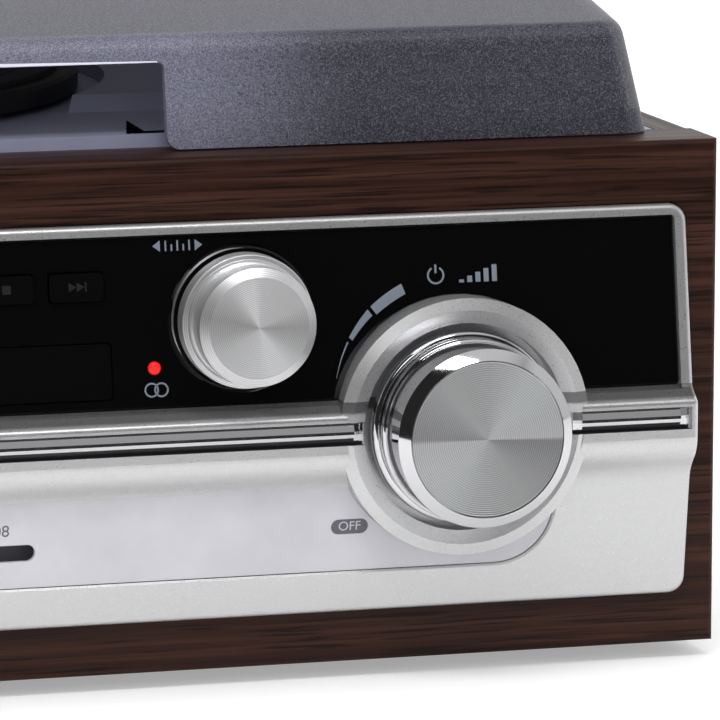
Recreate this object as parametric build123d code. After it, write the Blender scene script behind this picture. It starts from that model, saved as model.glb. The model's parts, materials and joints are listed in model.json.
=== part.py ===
"""Stereo music centre: a wooden cabinet with a record deck under a smoked cover, a radio and a disc player.

Sizes are in millimetres. Each piece is drawn in cabinet coordinates: X to the right from the middle,
Y to the back from the front board's face, Z up from the cabinet's underside. save() then moves it to
the object's own origin, in the middle of its footprint at the surface that it stands on.
"""
from math import cos, radians, sin, sqrt, tan
import os

from build123d import *

# ------------------------------------------------------------------ driving sizes: cabinet
cabinet_width = 430.0
cabinet_depth = 330.0
cabinet_height = 120.0
front_thickness = 20.0
side_thickness = 9.0
base_thickness = 9.0
back_thickness = 3.0
board_rounding = 1.5
cleat_size = 8.0
foot_height = 4.0
foot_radius = 9.0
foot_bevel = 1.0
foot_inset = 35.0
joint_gap = 0.3            # between a fitted piece and the hole that holds it
running_gap = 0.05         # radial clearance of a shaft in its bearing
press_gap = 0.02           # radial clearance of a pin in the hole that grips it
overcut = 1.0              # how far a cut reaches past the face that it opens
tolerance = 0.01           # for picking edges and corners by their place

# ------------------------------------------------------------------ driving sizes: front bezel
bezel_side_margin = 8.5    # wood left of and right of the bezel
bezel_bottom = 12.7
bezel_top = 105.2
bezel_corner = 4.0
bezel_edge_rounding = 1.3
bezel_back = 8.0           # how far the bezel's rim reaches into the front board
rim_width = 3.0            # raised border round the glass
rim_top_width = 2.4
rim_top_proud = 2.0        # how far the bezel stands out of the wood, from top to bottom
rim_glass_proud = 8.7
glass_bottom = 63.3
ledge_drop = 3.1
ledge_wall = 1.0
ridge_proud = 12.9
ridge_wall = 2.0
cove_top = 48.5
cove_bottom = 42.6
cove_radius = 8.0
cove_proud = 7.6
panel_bottom_proud = 3.9
panel_wall = 3.4
glass_sink = 1.15          # glass face below the rim beside it
glass_thickness = 2.0
glass_lip = 1.6
glass_corner = 1.0
glass_gap = 0.1
glass_chamfer = 0.5
glass_groove = 0.7         # groove between the glass and the ledge
glass_groove_sink = 0.3    # its floor below the glass face
post_radius = 2.5          # posts behind the bezel that carry the control board
post_x = 72.0
post_z = 101.0
post_root = 3.0

# ------------------------------------------------------------------ driving sizes: knob wells
large_knob_pitch = 51.4    # large knob's axis beyond the small one's
volume_height = 56.6
well_radius = 24.3
well_crest_radius = 27.4
well_shoulder_radius = 30.1
well_foot_radius = 29.7    # the shoulder hides the foot and the gap round it
well_foot_depth = 1.0      # how far the ring reaches behind the wood's face
well_wall = 2.5
well_overlap = 1.0         # how far the ring reaches into the bezel round it
well_crest_proud = 13.2
well_bevel = 1.1
well_floor_proud = 7.0
well_floor_thickness = 2.0

# ------------------------------------------------------------------ driving sizes: large knobs
skirt_radius = 22.5
skirt_back_proud = 10.0
skirt_front_proud = 13.5
skirt_bevel = 0.8
neck_radius = 19.6
neck_width = 1.6
knob_radius = 20.8
knob_bevel = 0.5
knob_rim_proud = 28.0
knob_face_proud = 30.0
knob_face_radius = 18.05
face_disc_thickness = 0.8
face_disc_gap = 0.15
face_disc_bevel = 0.1
stem_radius = 3.0
stem_back = 5.0            # how far each stem reaches behind the front board's face
control_radius = 11.0
control_square = 9.9       # half width of a square control
control_corner = 1.0
control_end = 1.0          # control's wall behind the stem
control_end_gap = 0.5

# ------------------------------------------------------------------ driving sizes: small knobs
small_knob_gap = 14.4      # between the tray front and a small knob's collar
tuning_height = 83.1
collar_radius = 16.8
collar_wall = 0.5
collar_proud = 0.4
collar_depth = 5.0
collar_floor = 1.5
small_flange_radius = 15.6
small_flange_proud = 10.4
small_flange_thickness = 4.7
small_flange_bevel = 0.3
small_neck_radius = 12.6
small_neck_shoulder = 0.6  # rise of the flange's hollow face at its middle
small_neck_rise = 1.8
small_cap_back_proud = 13.2
small_cap_radius = 13.75
small_rim_proud = 19.0
small_face_proud = 20.3
small_face_radius = 11.65
small_stem_reach = 7.0     # small knob's stem beyond the large knob's

# ------------------------------------------------------------------ driving sizes: glass fittings
lamp_offset = 21.1         # lamp from the tuning knob's axis
lamp_height = 72.6
lamp_radius = 1.5
lamp_proud = 0.9
lamp_dome = 0.9
lamp_gap = 0.05
lamp_depth = 3.0
lamp_collar = 0.6          # its step out of the lamp, and its gap behind the glass
lamp_collar_thickness = 1.0
lamp_body = 4.0
lamp_lead_radius = 0.3
lamp_lead_offset = 0.8
display_height = 13.0
display_sink = 0.25
display_end_gap = 13.4     # between the tone knob's collar and the display
display_button_gap = 16.0
button_end_gap = 15.6      # between the last button and the tuning knob's collar
fittings_drop = 11.2       # middle of the display and buttons below the glass's top
fittings_corner = 1.0
button_width = 12.6
button_height = 6.4
button_pitch = 16.4
button_proud = 1.0
button_travel = 1.2
button_flange = 1.0        # button's body behind the glass
button_stem_radius = 1.5
button_names = ("open_button", "play_button", "stop_button", "skip_button")
switch_height = 2.0
switch_half = 3.0
board_side_margin = 8.0    # control board beyond the display
board_lamp_margin = 4.0    # and round the lamp
board_tray_gap = 3.0
board_top_gap = 0.5
glow_margin = 2.0          # display's light box inside the window
glow_edge = 1.0
glow_gap = 2.6
control_board_thickness = 1.6
control_board_y = 14.0

# ------------------------------------------------------------------ driving sizes: disc tray
tray_front_width = 134.0
tray_front_height = 12.6
tray_front_z = 66.0
tray_front_thickness = 3.0
tray_width = 128.0
tray_length = 142.0
tray_thickness = 5.0
tray_rise = 1.4            # tray's underside above its front's lower edge
disc_radius = 60.0
disc_gap = 0.8
disc_back_margin = 8.0
disc_pocket_depth = 1.6
lens_slot_width = 34.0
lens_slot_length = 84.0
lens_slot_corner = 12.0
lens_slot_shift = 12.0     # slot's middle behind the disc's
rail_thickness = 4.0
loader_wall = 2.0
loader_leg = 8.0
loader_start = 6.0         # loader behind the front board
loader_end = 6.0           # loader behind the tray
loader_drop = 8.0
loader_rise = 6.0
loader_ledge = 4.0
bridge_half = 14.0
sled_half = 9.0
sled_length = 40.0
disc_hub_radius = 10.0
disc_hub_drop = 12.0
disc_hub_shoulder = 2.0
disc_hub_flange_radius = 13.0
disc_hub_flange = 1.0
disc_hub_nose_radius = 7.4
disc_hub_nose_taper = 0.6
disc_hub_nose_drop = 0.2

# ------------------------------------------------------------------ driving sizes: scale and bars
plate_end_reach = 23.5     # scale plate's end beyond the knob axis
plate_bottom = 22.5
plate_top = 43.2
plate_corner = 14.0
plate_recess = 2.0
plate_thickness = 1.3
plate_gap = 0.2
plate_lip = 0.5            # chamfer round the plate's recess
slot_half_length = 49.0
slot_height = 4.0
slot_z = 31.0
slot_rounding = 0.48       # corner radius of a slot as a share of its height
pointer_width = 1.2
pointer_thickness = 0.8
pointer_sink = 0.4         # pointer behind the scale plate's face
pointer_reach = 0.8        # pointer below the slot
pointer_root = 0.5
carriage_length = 9.0
carriage_height = 5.0
carriage_depth = 4.0
rail_radius = 1.0
rail_z = 37.0
rail_y = -1.8
rail_root = 0.5
backing_y = 1.0
backing_thickness = 1.4
backing_wall = 1.5
backing_margin = 9.0       # trough beyond the slot's ends
dial_window_margin = 5.0   # window behind the plate beyond the slot's ends
dial_window_rise = 3.0     # and above the rail
channel_bottom = 53.6
channel_top = 58.9
channel_depth = 1.6
channel_well_overcut = 0.3 # how far a bar's channel runs out into the knob well
channel_side_margin = 1.7
bar_top_gap = 0.2
bar_bottom_gap = 0.9
bar_end_gap = 0.5
bar_well_gap = 1.9         # between a bar and the knob well
bar_hip = 2.0
bar_upper_facet = 1.9
bar_flat = 0.7
bar_proud = 1.4
bar_facet_proud = 0.5

# ------------------------------------------------------------------ driving sizes: deck
deck_gap = 0.4
deck_thickness = 3.0
shelf_rise = 3.0           # deck shelf above the wood
deck_rise = 7.0            # upper deck above the wood
deck_step_y = 64.0
step_slope = 2.0           # run of the sloping step up to the upper deck
deck_back_margin = 30.0
deck_side_margin = 25.0
platter_x = -16.0
platter_y = 130.0
platter_radius = 105.0
platter_wall = 3.0
platter_web = 3.0
platter_edge = 0.8
platter_bottom_rise = 4.6
platter_top_rise = 9.5
well_gap = 6.5             # between the platter and the edge of its well
deep_well_margin = 8.0     # between the pulley and the deep well's wall
deep_well_drop = 3.0
deep_well_floor = 3.0
drive_rim_radius = 60.0
drive_rim_width = 3.0
drive_rim_lift = 2.0       # drive rim above the deep well's floor
hub_radius = 12.0
hub_lift = 0.5
mat_radius = 100.0
mat_thickness = 1.5
mat_bevel = 0.4
mat_hole_gap = 0.2
spindle_radius = 3.5
spindle_tip_radius = 3.6
spindle_tip_rise = 8.0
spindle_point = 1.4        # rounding of the spindle's tip, in two bevels
spindle_point_end = 0.4
spindle_point_radius = 1.2
spindle_point_step = 0.9
bearing_radius = 8.0
bearing_flange_radius = 14.0
bearing_flange = 1.5
bearing_depth = 16.0
bearing_end = 1.7          # metal below the bearing's blind bore
motor_distance = 78.0
motor_angle = 135.0
motor_radius = 17.0
motor_height = 20.0
motor_bevel = 1.0
motor_hole_radius = 8.0
motor_shaft_radius = 1.0
motor_shaft_depth = 8.0
pulley_radius = 6.0
pulley_lip = 0.6
pulley_crown = 0.1
belt_width = 4.0
belt_thickness = 0.8
belt_slack = 0.3           # between the belt and the rims that it runs round
belt_edge_gap = 0.6        # between the belt's edges and the pulley's lips
recess_x = 77.7            # finger recess in the shelf: a slot with a notch at its left end
recess_length = 40.0
recess_y = 22.3
recess_width = 5.0
recess_depth = 2.5
notch_width = 5.5
notch_lean = 6.2
notch_reach = 25.0
slider_inset = 25.0        # slider from the raised deck's edge
slider_y = 262.0
slider_length = 10.0
slider_width = 8.0
slider_height = 4.0
slider_bevel = 0.8
slider_travel = 7.0        # to each side
slider_stem_length = 4.0
slider_stem_width = 2.4
slider_foot = 1.5

# ------------------------------------------------------------------ driving sizes: arm
arm_x = 120.0
arm_y = 236.0
arm_rest_angle = 14.7      # arm's outward turn when it is parked
arm_swing = 52.0
arm_length = 185.0         # pivot to stylus
arm_rise = 19.5            # arm's axis above the wood
arm_tube_radius = 2.5
arm_stub_radius = 2.0
arm_stub_margin = 3.0      # stub beyond the counterweight
arm_base_radius = 18.0
arm_base_flange = 3.0
arm_base_bevel = 1.0
arm_pillar_radius = 9.0
arm_pillar_rise = 13.0
base_stub_radius = 5.7
base_stub_length = 9.0
yoke_spindle_radius = 3.0
yoke_spindle_gap = 1.0
yoke_gap = 0.4
yoke_plate = 2.0
yoke_half_width = 7.0
yoke_cheek = 2.0
yoke_length = 10.0
yoke_overreach = 3.0
cross_pin_radius = 1.5
pivot_block_length = 12.0
pivot_block_height = 7.0
pivot_block_rounding = 1.2
head_neck = 3.0
head_neck_root = 4.0
head_shoulder = 7.0
head_lift = 0.1            # headshell's underside above the tube's axis
head_length = 26.0
head_width = 15.0
head_back_width = 7.5
head_bevel = 1.5
head_thickness = 2.4
head_turn = 20.0
finger_length = 5.0
finger_half = 2.5
finger_root = 1.0
stylus_reach = 20.0        # from the tube's end to the stylus
stylus_rise = 12.9
stylus_radius = 0.9
stylus_tip_radius = 0.15
stylus_root = 0.5
cartridge_length = 17.0
cartridge_back_reach = 10.2    # cartridge behind the stylus
cartridge_width = 12.0
cartridge_height = 6.0
cartridge_bevel = 1.5
weight_radius = 8.0
weight_bevel = 1.0
weight_length = 17.0
weight_start = 14.0
rest_distance = 120.0
rest_post_radius = 3.0
rest_foot_radius = 6.0
rest_foot = 1.5
rest_gap = 0.3
rest_half = 3.0
rest_saddle = 2.0
rest_prong = 2.0
rest_prong_rise = 1.5
cue_radius = 15.0
cue_width = 2.6
cue_thickness = 2.4
cue_gap = 0.4
cue_overlap = 4.0
cue_post_radius = 1.4
lever_offset = 27.0
lever_length = 26.0
lever_hub_radius = 3.2
lever_hub_lift = 1.0
lever_width = 4.0
lever_thickness = 2.6
lever_grip_radius = 2.34
lever_lug = 8.0
lever_pin_radius = 1.4
lever_pin_root = 1.0
lever_cap_step = 0.8
lever_cap = 0.9

# ------------------------------------------------------------------ driving sizes: dust cover
cover_side_margin = 12.0
cover_front_margin = 11.5
cover_back_margin = 10.5
cover_wall = 2.5
cover_lean = 10.6          # front and side walls, degrees
cover_back_lean = 4.0
cover_front_rise = 25.6    # height of the wall's top over the wood
cover_back_rise = 55.0
cover_top_slope = 12.0
cover_seat_gap = 0.4
cover_corner = 8.0
cover_top_rounding = 5.0
cutout_left = -117.0
cutout_right = 85.0
cutout_rise = 20.2
cutout_flare = 3.0
cutout_corner = 1.5
hinge_x = 130.0
hinge_width = 16.0
hinge_axis_back = 5.5      # hinge axis from the cabinet's back
hinge_axis_rise = 4.6
hinge_pin_radius = 1.6
hinge_barrel_radius = 3.4
hinge_barrel_gap = 0.5
hinge_ear = 4.0
hinge_leaf = 4.0
hinge_back_inset = 0.4

# ------------------------------------------------------------------ driving sizes: sound
speaker_y = 175.0
speaker_z = 57.0
speaker_hole_radius = 34.0
speaker_lip_radius = 31.0
speaker_frame_radius = 38.5
speaker_depth = 24.0
speaker_frame_wall = 1.2
speaker_shoulder = 1.0
magnet_radius = 19.0
magnet_length = 9.0
cone_thickness = 0.8
cone_depth = 11.0
cone_edge_gap = 0.6
coil_radius = 9.0
coil_cap_radius = 5.4
coil_cap_rise = 4.0
coil_cap_crown = 1.0
coil_wall = 0.4
grille_radius = 41.0
grille_thickness = 1.6
grille_slot = 2.6
grille_bar = 2.4

# ------------------------------------------------------------------ driving sizes: mains and amplifier
transformer_size = (52.0, 42.0, 40.0)
transformer_x = -150.0
transformer_inset = 60.0   # its middle from the cabinet's back
core_margin = (8.0, 10.0)  # iron core inside the outline, along X and Y
winding_margin = 12.0
winding_drop = 7.0         # winding below and above the core's faces
winding_rounding = 4.0
transformer_foot = 2.0
transformer_foot_margin = 14.0
board_size = (120.0, 90.0, 1.6)
board_x = 110.0
board_inset = 62.0         # main board's middle from the cabinet's back
board_standoff = 6.0
board_post_radius = 3.0
board_post_inset = 5.0
sink_margin = 20.0         # heat sink from the board's ends
sink_front = 12.0          # and from its front edge
sink_depth = 14.0
sink_height = 30.0
sink_base = 3.0
sink_back = 4.0
fin_pitch = 7.0
fin_thickness = 3.0
capacitor_count = 3
capacitor_radius = 8.0
capacitor_height = 24.0
capacitor_pitch = 26.0
capacitor_x = 24.0         # first capacitor from the board's left end
capacitor_inset = 22.0     # from its back edge
connector_size = (20.0, 16.0, 9.0)
connector_inset = 14.0
socket_x = 60.0
socket_z = 62.0
socket_pitch = 14.0
socket_count = 4
socket_radius = 4.15
socket_ring_length = 8.0   # what stands out of the back panel
socket_bore = 1.6
socket_neck_step = 0.4     # neck in the panel, narrower than the ring a plug grips
socket_block_depth = 12.0
socket_block_wall = 3.0
inlet_x = -150.0
inlet_z = 40.0
inlet_width = 24.0
inlet_height = 16.0
inlet_depth = 14.0
inlet_corner = 1.0
inlet_cavity = (14.0, 8.6, 10.0)
inlet_cavity_rounding = 0.45    # corner radius as a share of the cavity's height
inlet_flange = 1.5
inlet_flange_step = 2.0
inlet_pin_radius = 1.2
inlet_pin_pitch = 8.6
inlet_pin_root = 1.0
inlet_pin_drop = 2.0
screw_head_radius = 3.2
screw_head_flat = 1.9
screw_head_height = 1.4
screw_head_edge = 0.3
screw_shank_radius = 1.5
screw_gap = 0.1
screw_inset = 8.0
screw_drop = 6.0
vent_width = 60.0
vent_height = 2.5
vent_pitch = 6.0
vent_z = 84.0
base_vent_pitch = 9.0
vent_count = 6

# ------------------------------------------------------------------ sizes that follow
half_width = cabinet_width / 2
inner_half = half_width - side_thickness
bezel_half = half_width - bezel_side_margin
tuning_x = tray_front_width / 2 + small_knob_gap + collar_radius
volume_x = tuning_x + large_knob_pitch
lamp_x = tuning_x - lamp_offset
glass_half = bezel_half - rim_width
glass_top = bezel_top - rim_top_width
ridge_top = glass_bottom - ledge_drop
fittings_height = glass_top - fittings_drop
button_count = len(button_names)
button_row_end = tuning_x - collar_radius - button_end_gap
button_row_start = button_row_end - button_width - button_pitch * (button_count - 1)
display_left = collar_radius + display_end_gap - tuning_x
display_right = button_row_start - display_button_gap
deep_well_radius = motor_distance + pulley_radius + deep_well_margin
ahead = -knob_face_proud - overcut          # depth in front of everything
front_y = (knob_face_proud - cabinet_depth - socket_ring_length) / 2
transformer_y = cabinet_depth - transformer_inset
board_y = cabinet_depth - board_inset
fin_count = int((board_size[0] - 2 * sink_margin + fin_pitch - fin_thickness) / fin_pitch)
wood_top = cabinet_height
shelf_z = wood_top + shelf_rise
deck_z = wood_top + deck_rise
platter_bottom = wood_top + platter_bottom_rise
platter_top = wood_top + platter_top_rise
mat_top = platter_top + mat_thickness
deep_floor = wood_top - deep_well_drop
arm_z = wood_top + arm_rise
offset_reach = stylus_reach * sin(radians(head_turn))
tube_length = sqrt(arm_length ** 2 - offset_reach ** 2) - stylus_reach * cos(radians(head_turn))


# ------------------------------------------------------------------ helpers
def block(x, y, z):
    """Box between two values on each axis."""
    middle = [(low + high) / 2 for low, high in (x, y, z)]
    size = [high - low for low, high in (x, y, z)]
    return Pos(*middle) * Box(*size)


def front_plane(y):
    """Plane at depth y that faces the front, with X to the right and Z up."""
    return Plane(origin=(0, y, 0), x_dir=(1, 0, 0), z_dir=(0, -1, 0))


def polygon(points):
    return make_face(Polyline(*points, close=True))


def along_x(face, half):
    """Prism of a (y, z) outline, from -half to half along X."""
    return extrude(Plane.YZ * face, amount=half, both=True)


def along_y(face, front, back):
    """Prism of an (x, z) outline between two depths."""
    return extrude(front_plane(back) * face, amount=back - front)


def along_z(face, low, high):
    return extrude(Pos(0, 0, low) * face, amount=high - low)


def turned_y(points, x, z):
    """Solid turned about an axis along Y from (radius, y) points."""
    return Pos(x, 0, z) * revolve(polygon(points), Axis.Y)


def turned_z(points, x, y):
    """Solid turned about an axis along Z from (radius, z) points."""
    return Pos(x, y, 0) * revolve(Plane.XZ * polygon(points), Axis.Z)


def turned_x(points, y, z):
    """Solid turned about an axis along X from (x, radius) points."""
    return Pos(0, y, z) * revolve(polygon(points), Axis.X)


def rod_y(x, z, radius, front, back):
    return along_y(Pos(x, z) * Circle(radius), front, back)


def rod_z(x, y, radius, low, high):
    return along_z(Pos(x, y) * Circle(radius), low, high)


def rod_x(y, z, radius, left, right):
    middle = (left + right) / 2
    return Pos(middle, y, z) * Rot(0, 90, 0) * Cylinder(radius, right - left)


def rounded_rectangle(x, z, radius):
    """Rounded (x, z) outline between two values on each axis."""
    outline = RectangleRounded(x[1] - x[0], z[1] - z[0], radius)
    return Pos((x[0] + x[1]) / 2, (z[0] + z[1]) / 2) * outline


def mirrored(shape):
    return mirror(shape, about=Plane.YZ)


def proud_between(z, low, high):
    """Height out of the wood at z on the line between two (z, proud) points."""
    return low[1] + (z - low[0]) * (high[1] - low[1]) / (high[0] - low[0])


parts = {}


def save(name, *solids):
    """Move a piece to the object's origin and keep it under its node's name."""
    move = Pos(0, front_y, foot_height)
    shapes = [move * solid for solid in solids]
    parts[name] = shapes[0] if len(shapes) == 1 else Compound(children=shapes)


# ------------------------------------------------------------------ cabinet
def bezel_outline(gap):
    x = bezel_half + gap
    return rounded_rectangle((-x, x), (bezel_bottom - gap, bezel_top + gap), bezel_corner + gap)


def make_cabinet():
    front = block((-half_width, half_width), (0, front_thickness), (0, cabinet_height))
    front = fillet(front.edges().group_by(Axis.Y)[0], board_rounding)
    front -= along_y(bezel_outline(joint_gap), -overcut, front_thickness + overcut)
    save("front_board", front)

    side = block((inner_half, half_width), (front_thickness, cabinet_depth), (0, cabinet_height))
    outer_edges = side.faces().sort_by(Axis.X)[-1].edges().sort_by(Axis.Y)[1:]
    side = fillet(outer_edges, board_rounding)
    pocket = rod_x(speaker_y, speaker_z, grille_radius + joint_gap, half_width - grille_thickness,
                   half_width + overcut)
    hole = rod_x(speaker_y, speaker_z, speaker_hole_radius, inner_half - overcut, half_width + overcut)
    side = side - pocket - hole
    save("side_board_right", side)
    save("side_board_left", mirrored(side))

    base_back = cabinet_depth - back_thickness
    base = block((-inner_half, inner_half), (front_thickness, base_back), (0, base_thickness))
    for row in range(vent_count):
        y = board_y - base_vent_pitch * (row - (vent_count - 1) / 2)
        slot = Pos(board_x, y) * RectangleRounded(vent_width, vent_height, vent_height * slot_rounding)
        base -= along_z(slot, -overcut, base_thickness + overcut)
    save("base_board", base)

    make_back_panel(base_back)
    make_cleats(base_back)

    feet = []
    for x in (foot_inset - half_width, half_width - foot_inset):
        for y in (foot_inset, cabinet_depth - foot_inset):
            foot = [(0, -foot_height), (foot_radius - foot_bevel, -foot_height),
                    (foot_radius, foot_bevel - foot_height), (foot_radius, 0), (0, 0)]
            feet.append(turned_z(foot, x, y))
    save("rubber_feet", *feet)


def make_back_panel(front):
    """Back panel with its vents and the holes for the inlet, the sockets and the screws."""
    back = block((-inner_half, inner_half), (front, cabinet_depth), (0, wood_top - deck_thickness))
    before, behind = front - overcut, cabinet_depth + overcut
    for row in range(vent_count):
        z = vent_z + vent_pitch * (row - (vent_count - 1) / 2)
        slot = rounded_rectangle((transformer_x - vent_width / 2, transformer_x + vent_width / 2),
                                 (z, z + vent_height), vent_height * slot_rounding)
        back -= along_y(slot, before, behind)
    back -= along_y(inlet_outline(joint_gap, inlet_corner), before, behind)
    for x in socket_places():
        back -= rod_y(x, socket_z, socket_radius + joint_gap, before, behind)
    for x, z in back_screw_places():
        back -= rod_y(x, z, screw_shank_radius + screw_gap, before, behind)
    save("back_panel", back)


def make_cleats(back):
    """Battens under the deck, along both sides and the front board."""
    height = (wood_top - deck_thickness - cleat_size, wood_top - deck_thickness)
    inner = inner_half - cleat_size
    save("deck_cleats",
         block((-inner_half, -inner), (front_thickness, back), height),
         block((inner, inner_half), (front_thickness, back), height),
         block((-inner, inner), (front_thickness, front_thickness + cleat_size), height))


def inlet_outline(grow, corner):
    """(x, z) outline of the mains inlet's body, grown all round."""
    half_x = inlet_width / 2 + grow
    half_z = inlet_height / 2 + grow
    return rounded_rectangle((inlet_x - half_x, inlet_x + half_x),
                             (inlet_z - half_z, inlet_z + half_z), corner)


def socket_places():
    return [socket_x + socket_pitch * place for place in range(socket_count)]


def back_screw_places():
    """Places of the back's screws: both sides at two heights, and the middle of the base."""
    low = base_thickness / 2
    high = wood_top - deck_thickness - screw_drop
    x = inner_half - screw_inset
    return [(-x, low), (-x, high), (0, low), (x, low), (x, high)]


def make_screws():
    back = cabinet_depth
    end = back - back_thickness
    points = [(0, back + screw_head_height), (screw_head_flat, back + screw_head_height),
              (screw_head_radius, back + screw_head_edge), (screw_head_radius, back),
              (screw_shank_radius, back), (screw_shank_radius, end), (0, end)]
    save("back_screws", *[turned_y(points, x, z) for x, z in back_screw_places()])


# ------------------------------------------------------------------ front bezel
def panel_proud(z):
    """Height of the lower panel's face out of the wood at height z."""
    return proud_between(z, (bezel_bottom + rim_width, panel_bottom_proud), (cove_bottom, cove_proud))


def rim_proud(z):
    return proud_between(z, (glass_bottom, rim_glass_proud), (bezel_top, rim_top_proud))


def glass_y(z):
    """Depth of the glass face at height z."""
    return glass_sink - rim_proud(z)


def bezel_profile():
    """(y, z) outline of the bezel: rim, ledge and ridge, then a smooth cove down to the lower panel."""
    outline = polygon([
        (bezel_back, bezel_bottom), (bezel_back, bezel_top), (-rim_top_proud, bezel_top),
        (-rim_glass_proud, glass_bottom), (-ridge_proud, ridge_top), (-ridge_proud, cove_top),
        (-cove_proud, cove_bottom), (-panel_proud(bezel_bottom), bezel_bottom)])
    bends = [corner for corner in outline.vertices()
             if cove_bottom - tolerance < corner.Y < cove_top + tolerance]
    return fillet(bends, cove_radius)


def cavity_profile():
    """(y, z) outline of the hollow behind the bezel."""
    low = bezel_bottom + rim_width
    behind_ridge = channel_depth + ridge_wall - ridge_proud
    behind_glass = glass_thickness + glass_lip
    return polygon([
        (bezel_back + overcut, low), (panel_wall - panel_bottom_proud, low),
        (panel_wall - cove_proud, cove_bottom),
        (behind_ridge, cove_top + panel_wall), (behind_ridge, ridge_top - ledge_wall),
        (glass_y(glass_bottom) + behind_glass, glass_bottom), (glass_y(glass_top) + behind_glass, glass_top),
        (bezel_back + overcut, glass_top)])


def knob_well(x):
    """Raised ring round a large knob, with the well's floor that carries the control."""
    floor_back = well_floor_thickness - well_floor_proud
    bevel_proud = well_crest_proud - well_bevel
    inner = well_shoulder_radius - well_wall
    bore = stem_radius + joint_gap
    ring = [(well_foot_radius, well_foot_depth), (well_shoulder_radius, -bevel_proud),
            (well_crest_radius, -well_crest_proud), (well_radius, -bevel_proud), (well_radius, -well_floor_proud),
            (bore, -well_floor_proud), (bore, floor_back), (inner, floor_back), (inner, well_foot_depth)]
    return turned_y(ring, x, volume_height)


def well_hole(x):
    """What a panel leaves open for the knob well's ring."""
    return rod_y(x, volume_height, well_foot_radius + joint_gap, ahead, bezel_back)


def glass_window(gap, corner):
    x = glass_half - gap
    return rounded_rectangle((-x, x), (glass_bottom + gap, glass_top - gap), corner)


def plate_outline(gap):
    """(x, z) outline of the scale plate: square at the top and rounded at the bottom."""
    end = volume_x + plate_end_reach - gap
    low = plate_bottom + gap
    high = plate_top - gap
    shape = Pos(0, (low + high) / 2) * Rectangle(2 * end, high - low)
    return fillet(shape.vertices().group_by(Axis.Y)[0], plate_corner - gap)


def leaning_slab(face, front_sink, back_sink, low, high):
    """Slab between two depths behind a leaning face, given by its depth at each height."""
    return along_x(polygon([(face(low) + front_sink, low), (face(low) + back_sink, low),
                            (face(high) + back_sink, high), (face(high) + front_sink, high)]), bezel_half)


def panel_slab(front_sink, back_sink):
    """Slab along the lower panel."""
    return leaning_slab(lambda z: -panel_proud(z), front_sink, back_sink, bezel_bottom, cove_top)


def glass_slab(front_sink, back_sink):
    """Slab along the glass."""
    return leaning_slab(glass_y, front_sink, back_sink, ridge_top, bezel_top)


def bar_spans(well_reach, end_margin):
    """X ranges of the bars or their channels: between the wells, and from each well to the bezel's end."""
    inner = well_radius + well_reach
    outer = bezel_half - end_margin
    return [(inner - volume_x, volume_x - inner), (volume_x + inner, outer), (-outer, -volume_x - inner)]


def make_bezel():
    bezel = along_x(bezel_profile(), bezel_half) & along_y(bezel_outline(0), ahead, bezel_back)
    bezel = fillet([edge for edge in bezel.edges() if on_front_rim(edge)], bezel_edge_rounding)
    bezel -= along_y(plate_outline(0), ahead, bezel_back) & panel_slab(ahead, plate_recess)
    bezel = chamfer([edge for edge in bezel.edges() if on_plate_lip(edge)], plate_lip)
    bezel -= along_x(cavity_profile(), bezel_half - rim_width)
    bezel -= along_y(glass_window(0, glass_corner), ahead, bezel_back) & glass_slab(ahead, glass_thickness)
    bezel -= along_y(glass_window(glass_lip, glass_corner), ahead, bezel_back + overcut)
    groove = block((-glass_half, glass_half), (ahead, 0),
                   (glass_bottom - glass_groove, glass_bottom + overcut))
    bezel -= groove & glass_slab(ahead, glass_groove_sink)
    window = slot_half_length + dial_window_margin
    bezel -= block((-window, window), (ahead, bezel_back + overcut),
                   (slot_z - slot_height, rail_z + dial_window_rise))
    for x in (-volume_x, volume_x):
        bezel -= rod_y(x, volume_height, well_foot_radius - well_overlap, ahead, bezel_back + overcut)
        bezel += knob_well(x)
    for left, right in bar_spans(-channel_well_overcut, channel_side_margin):
        bezel -= block((left, right), (ahead, channel_depth - ridge_proud), (channel_bottom, channel_top))
    for side in (-1, 1):
        bezel += rod_y(side * post_x, post_z, post_radius, bezel_back - post_root, control_board_y)
    save("front_bezel", bezel)


def on_front_rim(edge):
    """Whether an edge of the plain bezel block lies on the outer edge of its front."""
    box = edge.bounding_box()
    end = bezel_half - bezel_corner - tolerance
    on_end = abs(box.min.X) > end and abs(box.max.X) > end
    on_top = box.min.Z > bezel_top - bezel_corner - tolerance
    on_bottom = box.max.Z < bezel_bottom + bezel_corner + tolerance
    flat = box.size.X < tolerance and box.size.Z < tolerance
    return box.max.Y < bezel_back - tolerance and not flat and (on_end or on_top or on_bottom)


def on_plate_lip(edge):
    """Whether an edge lies where the plate's recess cuts the lower panel, below the cove."""
    box = edge.bounding_box()
    middle = edge @ 0.5
    low = plate_bottom - tolerance < box.min.Z < plate_bottom + plate_corner
    inside = max(abs(box.min.X), abs(box.max.X)) < volume_x + plate_end_reach + tolerance
    on_face = abs(middle.Y + panel_proud(middle.Z)) < tolerance
    return low and inside and on_face and box.max.Z < plate_top + tolerance


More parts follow.
